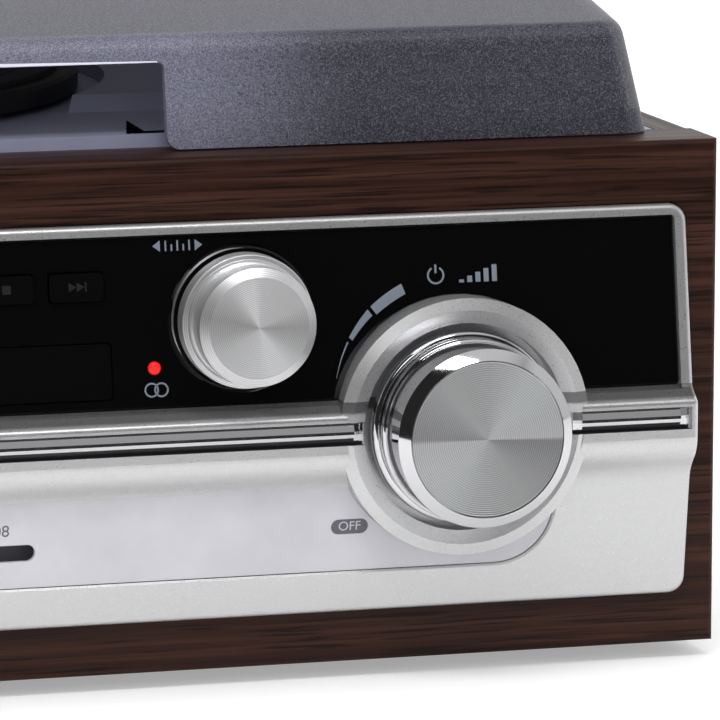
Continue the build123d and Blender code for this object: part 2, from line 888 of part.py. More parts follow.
def make_front_fittings():
    glass = along_y(glass_window(glass_gap, glass_corner - glass_gap), ahead, bezel_back)
    glass &= glass_slab(0, glass_thickness)
    face = glass.faces().sort_by(SortBy.AREA)[-2:].sort_by(Axis.Y)[0]
    glass = chamfer(face.edges(), glass_chamfer)
    for x in (-volume_x, volume_x):
        glass -= well_hole(x)
    for x in (-tuning_x, tuning_x):
        glass -= rod_y(x, tuning_height, collar_radius + glass_gap, ahead, bezel_back)
    glass -= rod_y(lamp_x, lamp_height, lamp_radius + lamp_gap, ahead, bezel_back)
    glass -= along_y(tray_front_outline(-joint_gap), ahead, bezel_back)
    glass -= along_y(display_outline(-glass_gap), ahead, bezel_back)
    for x in button_places():
        glass -= along_y(button_outline(x, -joint_gap), ahead, bezel_back)
    save("glass_panel", glass)

    window = along_y(display_outline(0), ahead, bezel_back) & glass_slab(display_sink, glass_thickness)
    save("display_window", window)
    save("stereo_lamp", lamp())
    save("knob_collars", *[small_knob_collar(x) for x in (-tuning_x, tuning_x)])

    plate = along_y(plate_outline(plate_gap), ahead, bezel_back)
    plate &= panel_slab(plate_recess - plate_thickness, plate_recess)
    for x in (-volume_x, volume_x):
        plate -= well_hole(x)
    slot_half = slot_height / 2
    slot = rounded_rectangle((-slot_half_length, slot_half_length), (slot_z - slot_half, slot_z + slot_half),
                             slot_height * slot_rounding)
    plate -= along_y(slot, ahead, bezel_back)
    save("scale_plate", plate)
    make_dial_backing()

    spans = bar_spans(bar_well_gap, channel_side_margin + bar_end_gap)
    save("chrome_bars", *[chrome_bar(left, right) for left, right in spans])


def lamp():
    """Small lamp with a domed end, a collar behind the glass and two leads to the board."""
    face = glass_y(lamp_height)
    bulb = rod_y(lamp_x, lamp_height, lamp_radius, face - lamp_proud, face + lamp_depth)
    bulb = fillet(bulb.edges().group_by(Axis.Y)[0], lamp_dome)
    collar = face + glass_thickness + lamp_collar
    bulb += rod_y(lamp_x, lamp_height, lamp_radius + lamp_collar, collar, collar + lamp_collar_thickness)
    bulb += rod_y(lamp_x, lamp_height, lamp_radius, collar, collar + lamp_body)
    lead = collar + lamp_body - lamp_collar_thickness
    for side in (-1, 1):
        bulb += rod_y(lamp_x + side * lamp_lead_offset, lamp_height, lamp_lead_radius, lead, control_board_y)
    return bulb


def small_knob_collar(x):
    """Chrome cup round a small knob's foot, set in the glass."""
    face = glass_y(tuning_height)
    wall = collar_radius - collar_wall
    floor = face + collar_depth
    bore = stem_radius + joint_gap
    points = [(bore, floor), (wall, floor), (wall, face - collar_proud), (collar_radius, face - collar_proud),
              (collar_radius, floor + collar_floor), (bore, floor + collar_floor)]
    return turned_y(points, x, tuning_height)


def chrome_bar(left, right):
    """Bar with an upper facet, a narrow flat and a lower facet, hipped at its ends."""
    top = channel_top - bar_top_gap
    bottom = channel_bottom + bar_bottom_gap
    base = channel_depth - ridge_proud
    front = base - bar_proud
    edge = base - bar_facet_proud
    flat_top = top - bar_upper_facet
    profile = polygon([(base, bottom), (base, top), (edge, top), (front, flat_top),
                       (front, flat_top - bar_flat), (edge, bottom)])
    bar = Pos((left + right) / 2) * along_x(profile, (right - left) / 2)
    beyond = 2 * front - edge
    for end, inward in ((left, 1), (right, -1)):
        hip = polygon([(end, edge), (end, beyond), (end + 2 * inward * bar_hip, beyond)])
        bar -= along_z(hip, bottom - overcut, top + overcut)
    return bar


def backing_rest(z):
    """Depth of the bezel's back face behind the lower panel."""
    return panel_wall - panel_proud(z)


def make_dial_backing():
    """Dark trough behind the scale slot, with the rail that the pointer's carriage slides on."""
    half = slot_half_length + backing_margin
    low = slot_z - slot_height - backing_wall
    high = rail_z + dial_window_rise + backing_wall
    back = backing_y + backing_thickness
    outer = polygon([(backing_rest(low), low), (back, low), (back, high), (backing_rest(high), high)])
    inside = half - backing_wall
    trough = along_x(outer, half)
    trough -= block((-inside, inside), (ahead, backing_y), (low + backing_wall, high - backing_wall))
    trough += rod_x(rail_y, rail_z, rail_radius, -inside - rail_root, inside + rail_root)
    save("dial_backing", trough)

    carriage = block((-carriage_length / 2, carriage_length / 2),
                     (rail_y - carriage_depth / 2, rail_y + carriage_depth / 2),
                     (rail_z - carriage_height / 2, rail_z + carriage_height / 2))
    carriage -= rod_x(rail_y, rail_z, rail_radius + running_gap, -carriage_length, carriage_length)
    slot_low = slot_z - slot_height / 2
    front = plate_recess - panel_proud(slot_low) + pointer_sink
    needle = block((-pointer_width / 2, pointer_width / 2), (front, front + pointer_thickness),
                   (slot_low - pointer_reach, rail_z - carriage_height / 2 + pointer_root))
    save("dial_pointer", carriage + needle)


# ------------------------------------------------------------------ knobs, buttons and their controls
def large_knob(x):
    """Chrome knob on its own stem: skirt, neck, body, and a bevel up to the face disc."""
    neck = skirt_front_proud + neck_width
    seat = face_disc_thickness - knob_face_proud
    rim = knob_face_radius + face_disc_gap
    points = [(0, stem_back), (stem_radius, stem_back), (stem_radius, -skirt_back_proud),
              (skirt_radius - skirt_bevel, -skirt_back_proud), (skirt_radius, -skirt_back_proud - skirt_bevel),
              (skirt_radius, skirt_bevel - skirt_front_proud), (skirt_radius - skirt_bevel, -skirt_front_proud),
              (neck_radius, -skirt_front_proud), (neck_radius, -neck), (knob_radius - knob_bevel, -neck),
              (knob_radius, -neck - knob_bevel), (knob_radius, -knob_rim_proud), (rim, -knob_face_proud),
              (rim, seat), (0, seat)]
    return turned_y(points, x, volume_height)


def face_disc(x):
    seat = face_disc_thickness - knob_face_proud
    points = [(0, seat), (knob_face_radius, seat), (knob_face_radius, face_disc_bevel - knob_face_proud),
              (knob_face_radius - face_disc_bevel, -knob_face_proud), (0, -knob_face_proud)]
    return turned_y(points, x, volume_height)


def small_knob(x):
    """Small knob: deep flange, hollow neck, cap with a bevel and a turned face."""
    flange_back = small_flange_thickness - small_flange_proud
    edge = small_flange_radius - small_flange_bevel
    neck = (small_flange_radius + small_neck_radius) / 2
    end = stem_back + small_stem_reach
    points = [(0, end), (stem_radius, end), (stem_radius, flange_back), (edge, flange_back),
              (small_flange_radius, flange_back - small_flange_bevel),
              (small_flange_radius, small_flange_bevel - small_flange_proud), (edge, -small_flange_proud),
              (neck, -small_flange_proud - small_neck_shoulder),
              (small_neck_radius, -small_flange_proud - small_neck_rise),
              (small_neck_radius, -small_cap_back_proud), (small_cap_radius, -small_cap_back_proud),
              (small_cap_radius, -small_rim_proud), (small_face_radius, -small_face_proud),
              (0, -small_face_proud)]
    return turned_y(points, x, tuning_height)


def control_body(x, z, front, stem_end, square=False):
    """Rotary control behind the panel, bored for the knob's stem."""
    bored = stem_end + control_end_gap
    back = bored + control_end
    if square:
        body = block((x - control_square, x + control_square), (front, back),
                     (z - control_square, z + control_square))
        body = fillet(body.edges().filter_by(Axis.Y), control_corner)
    else:
        body = rod_y(x, z, control_radius, front, back)
    return body - rod_y(x, z, stem_radius + running_gap, front - overcut, bored)


def make_controls():
    for side, name in ((1, "volume"), (-1, "function")):
        save(f"{name}_knob", large_knob(side * volume_x))
        save(f"{name}_knob_face", face_disc(side * volume_x))
    save("tuning_knob", small_knob(tuning_x))
    save("tone_knob", small_knob(-tuning_x))

    well_back = well_floor_thickness - well_floor_proud
    cup_back = glass_y(tuning_height) + collar_depth + collar_floor
    small_end = stem_back + small_stem_reach
    save("rotary_controls",
         control_body(volume_x, volume_height, well_back, stem_back),
         control_body(-volume_x, volume_height, well_back, stem_back, square=True),
         control_body(-tuning_x, tuning_height, cup_back, small_end))
    save("tuning_capacitor", control_body(tuning_x, tuning_height, cup_back, small_end, square=True))


def button_places():
    return [button_row_start + button_width / 2 + button_pitch * place for place in range(button_count)]


def button_outline(x, gap):
    half = (button_width / 2 - gap, button_height / 2 - gap)
    return rounded_rectangle((x - half[0], x + half[0]),
                             (fittings_height - half[1], fittings_height + half[1]), fittings_corner)


def display_outline(gap):
    half_height = display_height / 2 - gap
    return rounded_rectangle((display_left + gap, display_right - gap),
                             (fittings_height - half_height, fittings_height + half_height), fittings_corner)


def tray_front_outline(gap):
    half = tray_front_width / 2 - gap
    return rounded_rectangle((-half, half), (tray_front_z + gap, tray_front_z + tray_front_height - gap),
                             fittings_corner)


def make_buttons():
    behind = glass_thickness + button_flange
    for name, x in zip(button_names, button_places()):
        cap = along_y(button_outline(x, 0), ahead, bezel_back) & glass_slab(-button_proud, behind)
        cap += rod_y(x, fittings_height, button_stem_radius, glass_y(fittings_height) + button_flange,
                     control_board_y - switch_height - button_travel)
        save(name, cap)

    board_back = control_board_y + control_board_thickness
    top = glass_top - board_top_gap
    depth = (control_board_y, board_back)
    right = lamp_x + board_lamp_margin
    board = block((display_left - board_side_margin, right), depth,
                  (tray_front_z + tray_front_height + board_tray_gap, top))
    board += block((lamp_x - board_lamp_margin, right), depth, (lamp_height - board_lamp_margin, top))
    height = (fittings_height - switch_half, fittings_height + switch_half)
    switches = [block((x - switch_half, x + switch_half), (control_board_y - switch_height, control_board_y),
                      height) for x in button_places()]
    half = display_height / 2
    glow = block((display_left + glow_margin, display_right - glow_margin),
                 (glass_y(fittings_height - half) + glass_thickness + glow_gap, control_board_y),
                 (fittings_height - half + glow_edge, fittings_height + half - glow_edge))
    save("control_board", board, *switches, glow)


# ------------------------------------------------------------------ disc player
def make_disc_player():
    tray_low = tray_front_z + tray_rise
    tray_top = tray_low + tray_thickness
    front = along_y(tray_front_outline(0), ahead, bezel_back) & glass_slab(0, tray_front_thickness)
    tray_back = glass_y(tray_front_z) + tray_front_thickness + tray_length
    tray = block((-tray_width / 2, tray_width / 2), (glass_y(tray_front_z), tray_back), (tray_low, tray_top))
    tray -= along_y(tray_front_outline(-overcut), ahead, bezel_back) & glass_slab(ahead, tray_front_thickness)
    disc_y = tray_back - disc_radius - disc_back_margin
    tray -= rod_z(0, disc_y, disc_radius + disc_gap, tray_top - disc_pocket_depth, tray_top + overcut)
    slot = Pos(0, disc_y + lens_slot_shift) * RectangleRounded(lens_slot_width, lens_slot_length, lens_slot_corner)
    tray -= along_z(slot, tray_low - overcut, tray_top + overcut)
    save("tray_front", front)
    save("disc_tray", tray)
    make_loader(tray_low - joint_gap, tray_back, disc_y)


def make_loader(low, tray_back, disc_y):
    """Frame that the tray slides in, with a bridge over the disc and legs; and the hub under the disc."""
    rail_in = tray_width / 2 + joint_gap
    rail_out = rail_in + rail_thickness
    floor = low - loader_drop
    top = low + tray_thickness + loader_rise
    start = front_thickness + loader_start
    end = tray_back + loader_end
    frame = block((-rail_out, rail_out), (start, end), (floor, floor + loader_wall))
    frame += block((-rail_out, rail_out), (end - loader_wall, end), (floor, top))
    for side in (-1, 1):
        outer = sorted((side * rail_in, side * rail_out))
        ledge = sorted((side * (rail_in - loader_ledge), side * rail_out))
        frame += block(outer, (start, end), (floor, top))
        frame += block(ledge, (start, end), (floor, low))
    bridge = (disc_y - bridge_half, disc_y + bridge_half)
    frame += block((-rail_out, rail_out), bridge, (top - loader_wall, top))
    frame -= rod_z(0, disc_y, disc_hub_radius + running_gap, floor - overcut, low - overcut)
    sled_front = disc_y + bridge_half
    frame -= block((-sled_half, sled_half), (sled_front, sled_front + sled_length),
                   (floor - overcut, floor + loader_wall + overcut))
    for x in (-rail_out, rail_out - loader_leg):
        for y in (start, end - loader_leg):
            frame += block((x, x + loader_leg), (y, y + loader_leg), (base_thickness, floor))
    save("disc_loader", frame)

    flange = low - disc_hub_shoulder
    seat = flange + disc_hub_flange
    nose = disc_hub_nose_radius - disc_hub_nose_taper
    hub = [(0, low - disc_hub_drop), (disc_hub_radius, low - disc_hub_drop), (disc_hub_radius, flange),
           (disc_hub_flange_radius, flange), (disc_hub_flange_radius, seat), (disc_hub_nose_radius, seat),
           (nose, low - disc_hub_nose_drop), (0, low - disc_hub_nose_drop)]
    save("disc_hub", turned_z(hub, 0, disc_y))


# ------------------------------------------------------------------ record deck
def motor_place():
    angle = radians(motor_angle)
    return platter_x + motor_distance * cos(angle), platter_y + motor_distance * sin(angle)


def make_deck():
    half = inner_half - deck_gap
    front = front_thickness + deck_gap
    shelf_half = half_width - deck_side_margin
    shelf_back = cabinet_depth - deck_back_margin
    wall = deck_thickness
    top = deck_z + overcut
    rim = block((-half, half), (front, cabinet_depth - deck_gap), (wood_top - wall, wood_top))
    shelf = block((-shelf_half, shelf_half), (front, shelf_back), (wood_top, shelf_z))
    raised = along_x(polygon([(deck_step_y, shelf_z), (shelf_back, shelf_z), (shelf_back, deck_z),
                              (deck_step_y + step_slope, deck_z)]), shelf_half)
    stepped = shelf + raised
    deck = rim + stepped
    deck -= block((wall - shelf_half, shelf_half - wall),
                  (deck_step_y + step_slope + wall, shelf_back - wall),
                  (wood_top - wall - overcut, deck_z - wall))
    well = platter_radius + well_gap
    deck += rod_z(platter_x, platter_y, well + wall, wood_top, deck_z) & stepped
    deck += rod_z(platter_x, platter_y, deep_well_radius + wall, deep_floor - deep_well_floor, shelf_z)
    deck -= rod_z(platter_x, platter_y, well, shelf_z, top)
    deck -= rod_z(platter_x, platter_y, deep_well_radius, deep_floor, top)

    deck -= rod_z(platter_x, platter_y, bearing_radius + joint_gap, 0, wood_top)
    deck -= rod_z(*motor_place(), motor_hole_radius, 0, wood_top)
    deck -= rod_z(arm_x, arm_y, base_stub_radius + joint_gap, wood_top, top)
    deck -= along_z(recess_outline(), shelf_z - recess_depth, top)
    slider_x = shelf_half - slider_inset
    slot = slider_travel + slider_stem_length / 2 + joint_gap
    slot_side = slider_stem_width / 2 + joint_gap
    deck -= block((slider_x - slot, slider_x + slot), (slider_y - slot_side, slider_y + slot_side),
                  (wood_top, top))
    save("deck_plate", deck)
    make_slider(slider_x)


def recess_outline():
    """Finger recess in the shelf: a slot with a slanting notch at its left end."""
    left, right = recess_x, recess_x + recess_length
    back = recess_y + recess_width
    return polygon([(left, recess_y), (right, recess_y), (right, back), (left + notch_width, back),
                    (left + notch_lean, recess_y + notch_reach)])


def make_slider(x):
    length = (x - slider_length / 2, x + slider_length / 2)
    width = (slider_y - slider_width / 2, slider_y + slider_width / 2)
    low = deck_z + joint_gap
    knob = block(length, width, (low, low + slider_height))
    knob = chamfer(knob.faces().sort_by(Axis.Z)[-1].edges(), slider_bevel)
    foot = deck_z - deck_thickness - joint_gap - slider_foot
    knob += block((x - slider_stem_length / 2, x + slider_stem_length / 2),
                  (slider_y - slider_stem_width / 2, slider_y + slider_stem_width / 2),
                  (foot, deck_z + overcut))
    knob += block(length, width, (foot, foot + slider_foot))
    save("speed_slider", knob)


def make_platter():
    bore = spindle_radius + press_gap
    web_low = platter_top - platter_web
    hub_low = deep_floor + bearing_flange + hub_lift
    rim_low = deep_floor + drive_rim_lift
    rim_inner = drive_rim_radius - drive_rim_width
    wall_inner = platter_radius - platter_wall
    points = [(bore, hub_low), (hub_radius, hub_low), (hub_radius, web_low), (rim_inner, web_low),
              (rim_inner, rim_low), (drive_rim_radius, rim_low), (drive_rim_radius, web_low),
              (wall_inner, web_low), (wall_inner, platter_bottom), (platter_radius, platter_bottom),
              (platter_radius, platter_top - platter_edge), (platter_radius - platter_edge, platter_top),
              (bore, platter_top)]
    save("platter", turned_z(points, platter_x, platter_y))

    hole = spindle_tip_radius + mat_hole_gap
    mat = [(hole, platter_top), (mat_radius, platter_top), (mat_radius, mat_top - mat_bevel),
           (mat_radius - mat_bevel, mat_top), (hole, mat_top)]
    save("platter_mat", turned_z(mat, platter_x, platter_y))

    low = deep_floor - bearing_depth
    bottom = low + bearing_end + joint_gap
    tip = mat_top + spindle_tip_rise
    shoulder = spindle_tip_radius - spindle_point_step
    spindle = [(0, bottom), (spindle_radius, bottom), (spindle_radius, platter_top),
               (spindle_tip_radius, platter_top), (spindle_tip_radius, tip - spindle_point),
               (shoulder, tip - spindle_point_end), (spindle_point_radius, tip), (0, tip)]
    save("spindle", turned_z(spindle, platter_x, platter_y))

    bore = spindle_radius + running_gap
    high = deep_floor + bearing_flange
    bearing = [(0, low), (bearing_radius, low), (bearing_radius, deep_floor),
               (bearing_flange_radius, deep_floor), (bearing_flange_radius, high), (bore, high),
               (bore, low + bearing_end), (0, low + bearing_end)]
    save("platter_bearing", turned_z(bearing, platter_x, platter_y))


def make_drive():
    x, y = motor_place()
    top = deep_floor - deep_well_floor
    bottom = top - motor_height
    bore = motor_shaft_radius + running_gap
    shaft_low = top - motor_shaft_depth
    motor = [(0, bottom), (motor_radius - motor_bevel, bottom), (motor_radius, bottom + motor_bevel),
             (motor_radius, top), (bore, top), (bore, shaft_low - joint_gap), (0, shaft_low - joint_gap)]
    save("deck_motor", turned_z(motor, x, y))

    low = deep_floor + drive_rim_lift
    belt_low = low + belt_edge_gap
    belt_high = belt_low + belt_width
    high = belt_high + belt_edge_gap
    lip = pulley_radius + pulley_lip
    foot = low - pulley_lip - pulley_crown
    pulley = [(0, shaft_low), (motor_shaft_radius, shaft_low), (motor_shaft_radius, foot), (lip, foot),
              (lip, low - pulley_crown), (pulley_radius, low), (pulley_radius, high),
              (lip, high + pulley_crown), (lip, high + pulley_lip), (0, high + pulley_lip)]
    save("motor_pulley", turned_z(pulley, x, y))
    save("drive_belt", along_z(belt_outline(belt_thickness) - belt_outline(0), belt_low, belt_high))


def belt_outline(grow):
    """Outline round the drive rim and the pulley, a little larger than both."""
    rim = Pos(platter_x, platter_y) * Circle(drive_rim_radius + belt_slack + grow)
    pulley = Pos(*motor_place()) * Circle(pulley_radius + belt_slack + grow)
    return make_hull([*rim.edges(), *pulley.edges()])


# ------------------------------------------------------------------ arm
def in_arm_frame(shape):
    """Move a shape drawn about the pivot, with the arm pointing to the front, to where the arm is parked."""
    return Pos(arm_x, arm_y, arm_z) * Rot(0, 0, arm_rest_angle) * shape


def in_head_frame(shape):
    """Move a shape drawn about the tube's end, along the head, to its place on the parked arm."""
    return in_arm_frame(Pos(0, -tube_length, 0) * Rot(0, 0, -head_turn) * shape)


def make_arm():
    block_half = yoke_half_width - yoke_cheek - yoke_gap
    pivot = block((-block_half, block_half), (-pivot_block_length / 2, pivot_block_length / 2),
                  (-pivot_block_height / 2, pivot_block_height / 2))
    pivot = fillet(pivot.edges().filter_by(Axis.Z), pivot_block_rounding)
    stub_back = weight_start + weight_length + arm_stub_margin
    arm = pivot + rod_y(0, 0, arm_tube_radius, -tube_length, 0) + rod_y(0, 0, arm_stub_radius, 0, stub_back)
    arm += rod_x(0, 0, cross_pin_radius, -yoke_half_width, yoke_half_width)
    save("tonearm", in_arm_frame(arm) + in_head_frame(head()))
    save("cartridge", in_head_frame(cartridge()))

    bore = arm_stub_radius + press_gap
    end = weight_start + weight_length
    edge = weight_radius - weight_bevel
    weight = [(bore, weight_start), (edge, weight_start), (weight_radius, weight_start + weight_bevel),
              (weight_radius, end - weight_bevel), (edge, end), (bore, end)]
    save("counterweight", in_arm_frame(turned_y(weight, 0, 0)))


def head():
    """Flat head with its finger lift, and the neck that joins it to the tube."""
    half = head_width / 2
    narrow = head_back_width / 2
    corner = half - head_bevel
    back = -head_neck
    front = back - head_length
    outline = polygon([(-narrow, back), (narrow, back), (half, back - head_shoulder),
                       (half, front + head_bevel), (corner, front), (-corner, front),
                       (-half, front + head_bevel), (-half, back - head_shoulder)])
    top = head_lift + head_thickness
    finger = block((half - finger_root, half + finger_length),
                   (-stylus_reach - finger_half, -stylus_reach + finger_half),
                   (top - head_thickness / 2, top))
    neck = rod_y(0, 0, arm_tube_radius, back - head_neck_root, 0) + Sphere(arm_tube_radius)
    return along_z(outline, head_lift, top) + finger + neck


def cartridge():
    back = cartridge_back_reach - stylus_reach
    bottom = head_lift - cartridge_height
    half = cartridge_width / 2
    body = block((-half, half), (back - cartridge_length, back), (bottom, head_lift))
    body = chamfer(body.faces().sort_by(Axis.Z)[0].edges().filter_by(Axis.X), cartridge_bevel)
    tip = stylus_rise - arm_rise
    root = bottom + stylus_root
    stylus = [(0, tip), (stylus_tip_radius, tip), (stylus_radius, root), (0, root)]
    return body + turned_z(stylus, 0, -stylus_reach)


def make_arm_mounting():
    pillar_top = wood_top + arm_pillar_rise
    plate_low = pillar_top + yoke_gap - arm_z
    plate_high = plate_low + yoke_plate
    half_length = yoke_length / 2
    yoke = block((-yoke_half_width, yoke_half_width), (-half_length, half_length), (plate_low, plate_high))
    for side in (-1, 1):
        x = sorted((side * (yoke_half_width - yoke_cheek), side * yoke_half_width))
        yoke += block(x, (-half_length, half_length), (plate_high, yoke_overreach))
    yoke -= rod_x(0, 0, cross_pin_radius + running_gap, -yoke_half_width - overcut, yoke_half_width + overcut)
    stub_low = deck_z - base_stub_length
    yoke += rod_z(0, 0, yoke_spindle_radius, stub_low + yoke_spindle_gap - arm_z, plate_high)
    save("arm_yoke", in_arm_frame(yoke))

    bore = yoke_spindle_radius + running_gap
    flange_top = deck_z + arm_base_flange
    points = [(bore, stub_low), (base_stub_radius, stub_low), (base_stub_radius, deck_z),
              (arm_base_radius, deck_z), (arm_base_radius, flange_top - arm_base_bevel),
              (arm_base_radius - arm_base_bevel, flange_top),
              (arm_pillar_radius, flange_top), (arm_pillar_radius, pillar_top), (bore, pillar_top)]
    middle = arm_rest_angle - 90 - arm_swing / 2
    post_x_shift, post_y_shift = polar(cue_radius, middle)
    post_place = (arm_x + post_x_shift, arm_y + post_y_shift)
    hub_right = arm_x + lever_offset + lever_width / 2
    lever_z = deck_z + lever_hub_radius + lever_hub_lift
    base = turned_z(points, arm_x, arm_y) + lever_lug_form(hub_right, lever_z)
    base -= rod_z(*post_place, cue_post_radius + running_gap, deck_z - overcut, flange_top + overcut)
    save("tonearm_base", base)
    make_cue_lever(hub_right, lever_z)
    make_cue_lift(*post_place)
    make_arm_rest()


def lever_lug_form(hub_right, lever_z):
    """Lug beside the arm base, with the pin that the cue lever turns on."""
    right = hub_right - lever_width - joint_gap
    left = right - lever_lug
    cap = hub_right + joint_gap
    lug = block((left, right), (arm_y - lever_hub_radius, arm_y + lever_hub_radius), (deck_z, lever_z))
    lug += rod_x(arm_y, lever_z, lever_hub_radius, left, right)
    lug += rod_x(arm_y, lever_z, lever_pin_radius, right - lever_pin_root, cap)
    return lug + rod_x(arm_y, lever_z, lever_pin_radius + lever_cap_step, cap, cap + lever_cap)


def make_cue_lever(right, z):
    left = right - lever_width
    end = arm_y - lever_length
    lever = rod_x(arm_y, z, lever_hub_radius, left, right)
    lever += block((left, right), (end, arm_y), (z - lever_thickness / 2, z + lever_thickness / 2))
    lever += rod_x(end, z, lever_grip_radius, left, right)
    lever -= rod_x(arm_y, z, lever_pin_radius + running_gap, left - overcut, right + overcut)
    save("cue_lever", lever)


def make_cue_lift(post_x, post_y):
    """Curved bar under the arm, on a post that slides in the arm base."""
    top = arm_z - arm_tube_radius - cue_gap
    span = arm_swing + 2 * cue_overlap
    outer = cue_radius + cue_width / 2
    inner = cue_radius - cue_width / 2
    start = arm_rest_angle - 90 - arm_swing - cue_overlap
    end = start + span
    sector = make_face([CenterArc((0, 0), outer, start, span), CenterArc((0, 0), inner, start, span),
                        Line(polar(inner, start), polar(outer, start)),
                        Line(polar(inner, end), polar(outer, end))])
    bar = along_z(Pos(arm_x, arm_y) * sector, top - cue_thickness, top)
    bar += rod_z(post_x, post_y, cue_post_radius, deck_z + joint_gap, top - cue_thickness / 2)
    save("cue_lift", bar)


def make_arm_rest():
    saddle = -arm_tube_radius - rest_gap
    foot = deck_z - arm_z
    rest = rod_z(0, -rest_distance, rest_post_radius, foot, saddle - rest_saddle / 2)
    rest += rod_z(0, -rest_distance, rest_foot_radius, foot, foot + rest_foot)
    left = arm_tube_radius + 2 * rest_gap
    right = left + rest_prong
    depth = (-rest_distance - rest_half, -rest_distance + rest_half)
    rest += block((-rest_post_radius - rest_saddle / 2, right), depth, (saddle - rest_saddle, saddle))
    rest += block((left, right), depth, (saddle - rest_saddle / 2, rest_prong_rise))
    save("arm_rest", in_arm_frame(rest))


def polar(radius, angle):
    return radius * cos(radians(angle)), radius * sin(radians(angle))


# ------------------------------------------------------------------ dust cover
def cover_form(inset, low):
    """Solid with the cover's form from a low level up, drawn in all round by an inset."""
    lean = tan(radians(cover_lean))
    back_lean = tan(radians(cover_back_lean))
    front = cover_front_margin + inset / cos(radians(cover_lean))
    back = cabinet_depth - cover_back_margin - inset / cos(radians(cover_back_lean))
    side = half_width - cover_side_margin - inset / cos(radians(cover_lean))
    front_rise = cover_front_rise - inset
    back_rise = cover_back_rise - inset
    foot = low - wood_top
    front_top = (front + front_rise * lean, wood_top + front_rise)
    back_top = (back - back_rise * back_lean, wood_top + back_rise)
    walls = Polyline(front_top, (front + foot * lean, low), (back - foot * back_lean, low), back_top)
    slope = radians(cover_top_slope)
    top = TangentArc(front_top, back_top, tangent=(cos(slope), sin(slope)))
    rise = 2 * cover_back_rise
    sides = polygon([(foot * lean - side, low), (side - foot * lean, low),
                     (side - rise * lean, wood_top + rise), (rise * lean - side, wood_top + rise)])
    form = along_x(make_face([walls, top]), half_width) & along_y(sides, 0, cabinet_depth)
    form = fillet([edge for edge in form.edges() if is_upright(edge)], cover_corner - inset)
    return fillet(form.faces().sort_by(Axis.Z)[-1].edges(), cover_top_rounding - inset)


def is_upright(edge):
    """Whether an edge of the cover's form stands up between two of its walls."""
    size = edge.bounding_box().size
    return size.Z > max(size.X, size.Y)


def make_cover():
    low = wood_top + cover_seat_gap
    cover = cover_form(0, low) - cover_form(cover_wall, low - overcut)
    cover -= along_y(cutout_outline(low), 0, cover_front_margin + cover_front_rise)

    axis_y = cabinet_depth - hinge_axis_back
    axis_z = wood_top + hinge_axis_rise
    lug_front = cabinet_depth - cover_back_margin - cover_wall
    for x in (-hinge_x, hinge_x):
        left, right = x - hinge_width / 2, x + hinge_width / 2
        cover += rod_x(axis_y, axis_z, hinge_barrel_radius, left, right)
        cover += block((left, right), (lug_front, axis_y),
                       (axis_z - hinge_barrel_radius, axis_z + hinge_barrel_radius))
        cover -= rod_x(axis_y, axis_z, hinge_pin_radius + running_gap, left - overcut, right + overcut)
    save("dust_cover", cover)

    half = hinge_width / 2 + joint_gap
    end = half + hinge_ear
    back = cabinet_depth - hinge_back_inset
    height = (wood_top, wood_top + hinge_leaf)
    brackets = []
    pins = []
    for x in (-hinge_x, hinge_x):
        bracket = block((x - end, x + end), (axis_y + hinge_barrel_radius + hinge_barrel_gap, back), height)
        for left, right in ((x - end, x - half), (x + half, x + end)):
            bracket += rod_x(axis_y, axis_z, hinge_barrel_radius, left, right)
            bracket += block((left, right), (axis_y - hinge_barrel_radius, back), height)
        bracket -= rod_x(axis_y, axis_z, hinge_pin_radius + press_gap, x - end - overcut, x + end + overcut)
        brackets.append(bracket)
        pins.append(rod_x(axis_y, axis_z, hinge_pin_radius, x - end, x + end))
    save("hinge_brackets", *brackets)
    save("hinge_pins", *pins)


def cutout_outline(low):
    """(x, z) outline of the cut-out in the cover's front wall, flared at its foot."""
    top = wood_top + cutout_rise
    far = 2 * cutout_flare
    outline = polygon([(cutout_left - far, low - overcut), (cutout_left - far, low), (cutout_left, low),
                       (cutout_left, top), (cutout_right, top), (cutout_right, low),
                       (cutout_right + far, low), (cutout_right + far, low - overcut)])
    outline = fillet([corner for corner in outline.vertices() if corner.Y > top - tolerance], cutout_corner)
    flares = [corner for corner in outline.vertices()
              if abs(corner.Y - low) < tolerance and cutout_left - far < corner.X - tolerance
              and corner.X + tolerance < cutout_right + far]
    return fillet(flares, cutout_flare)


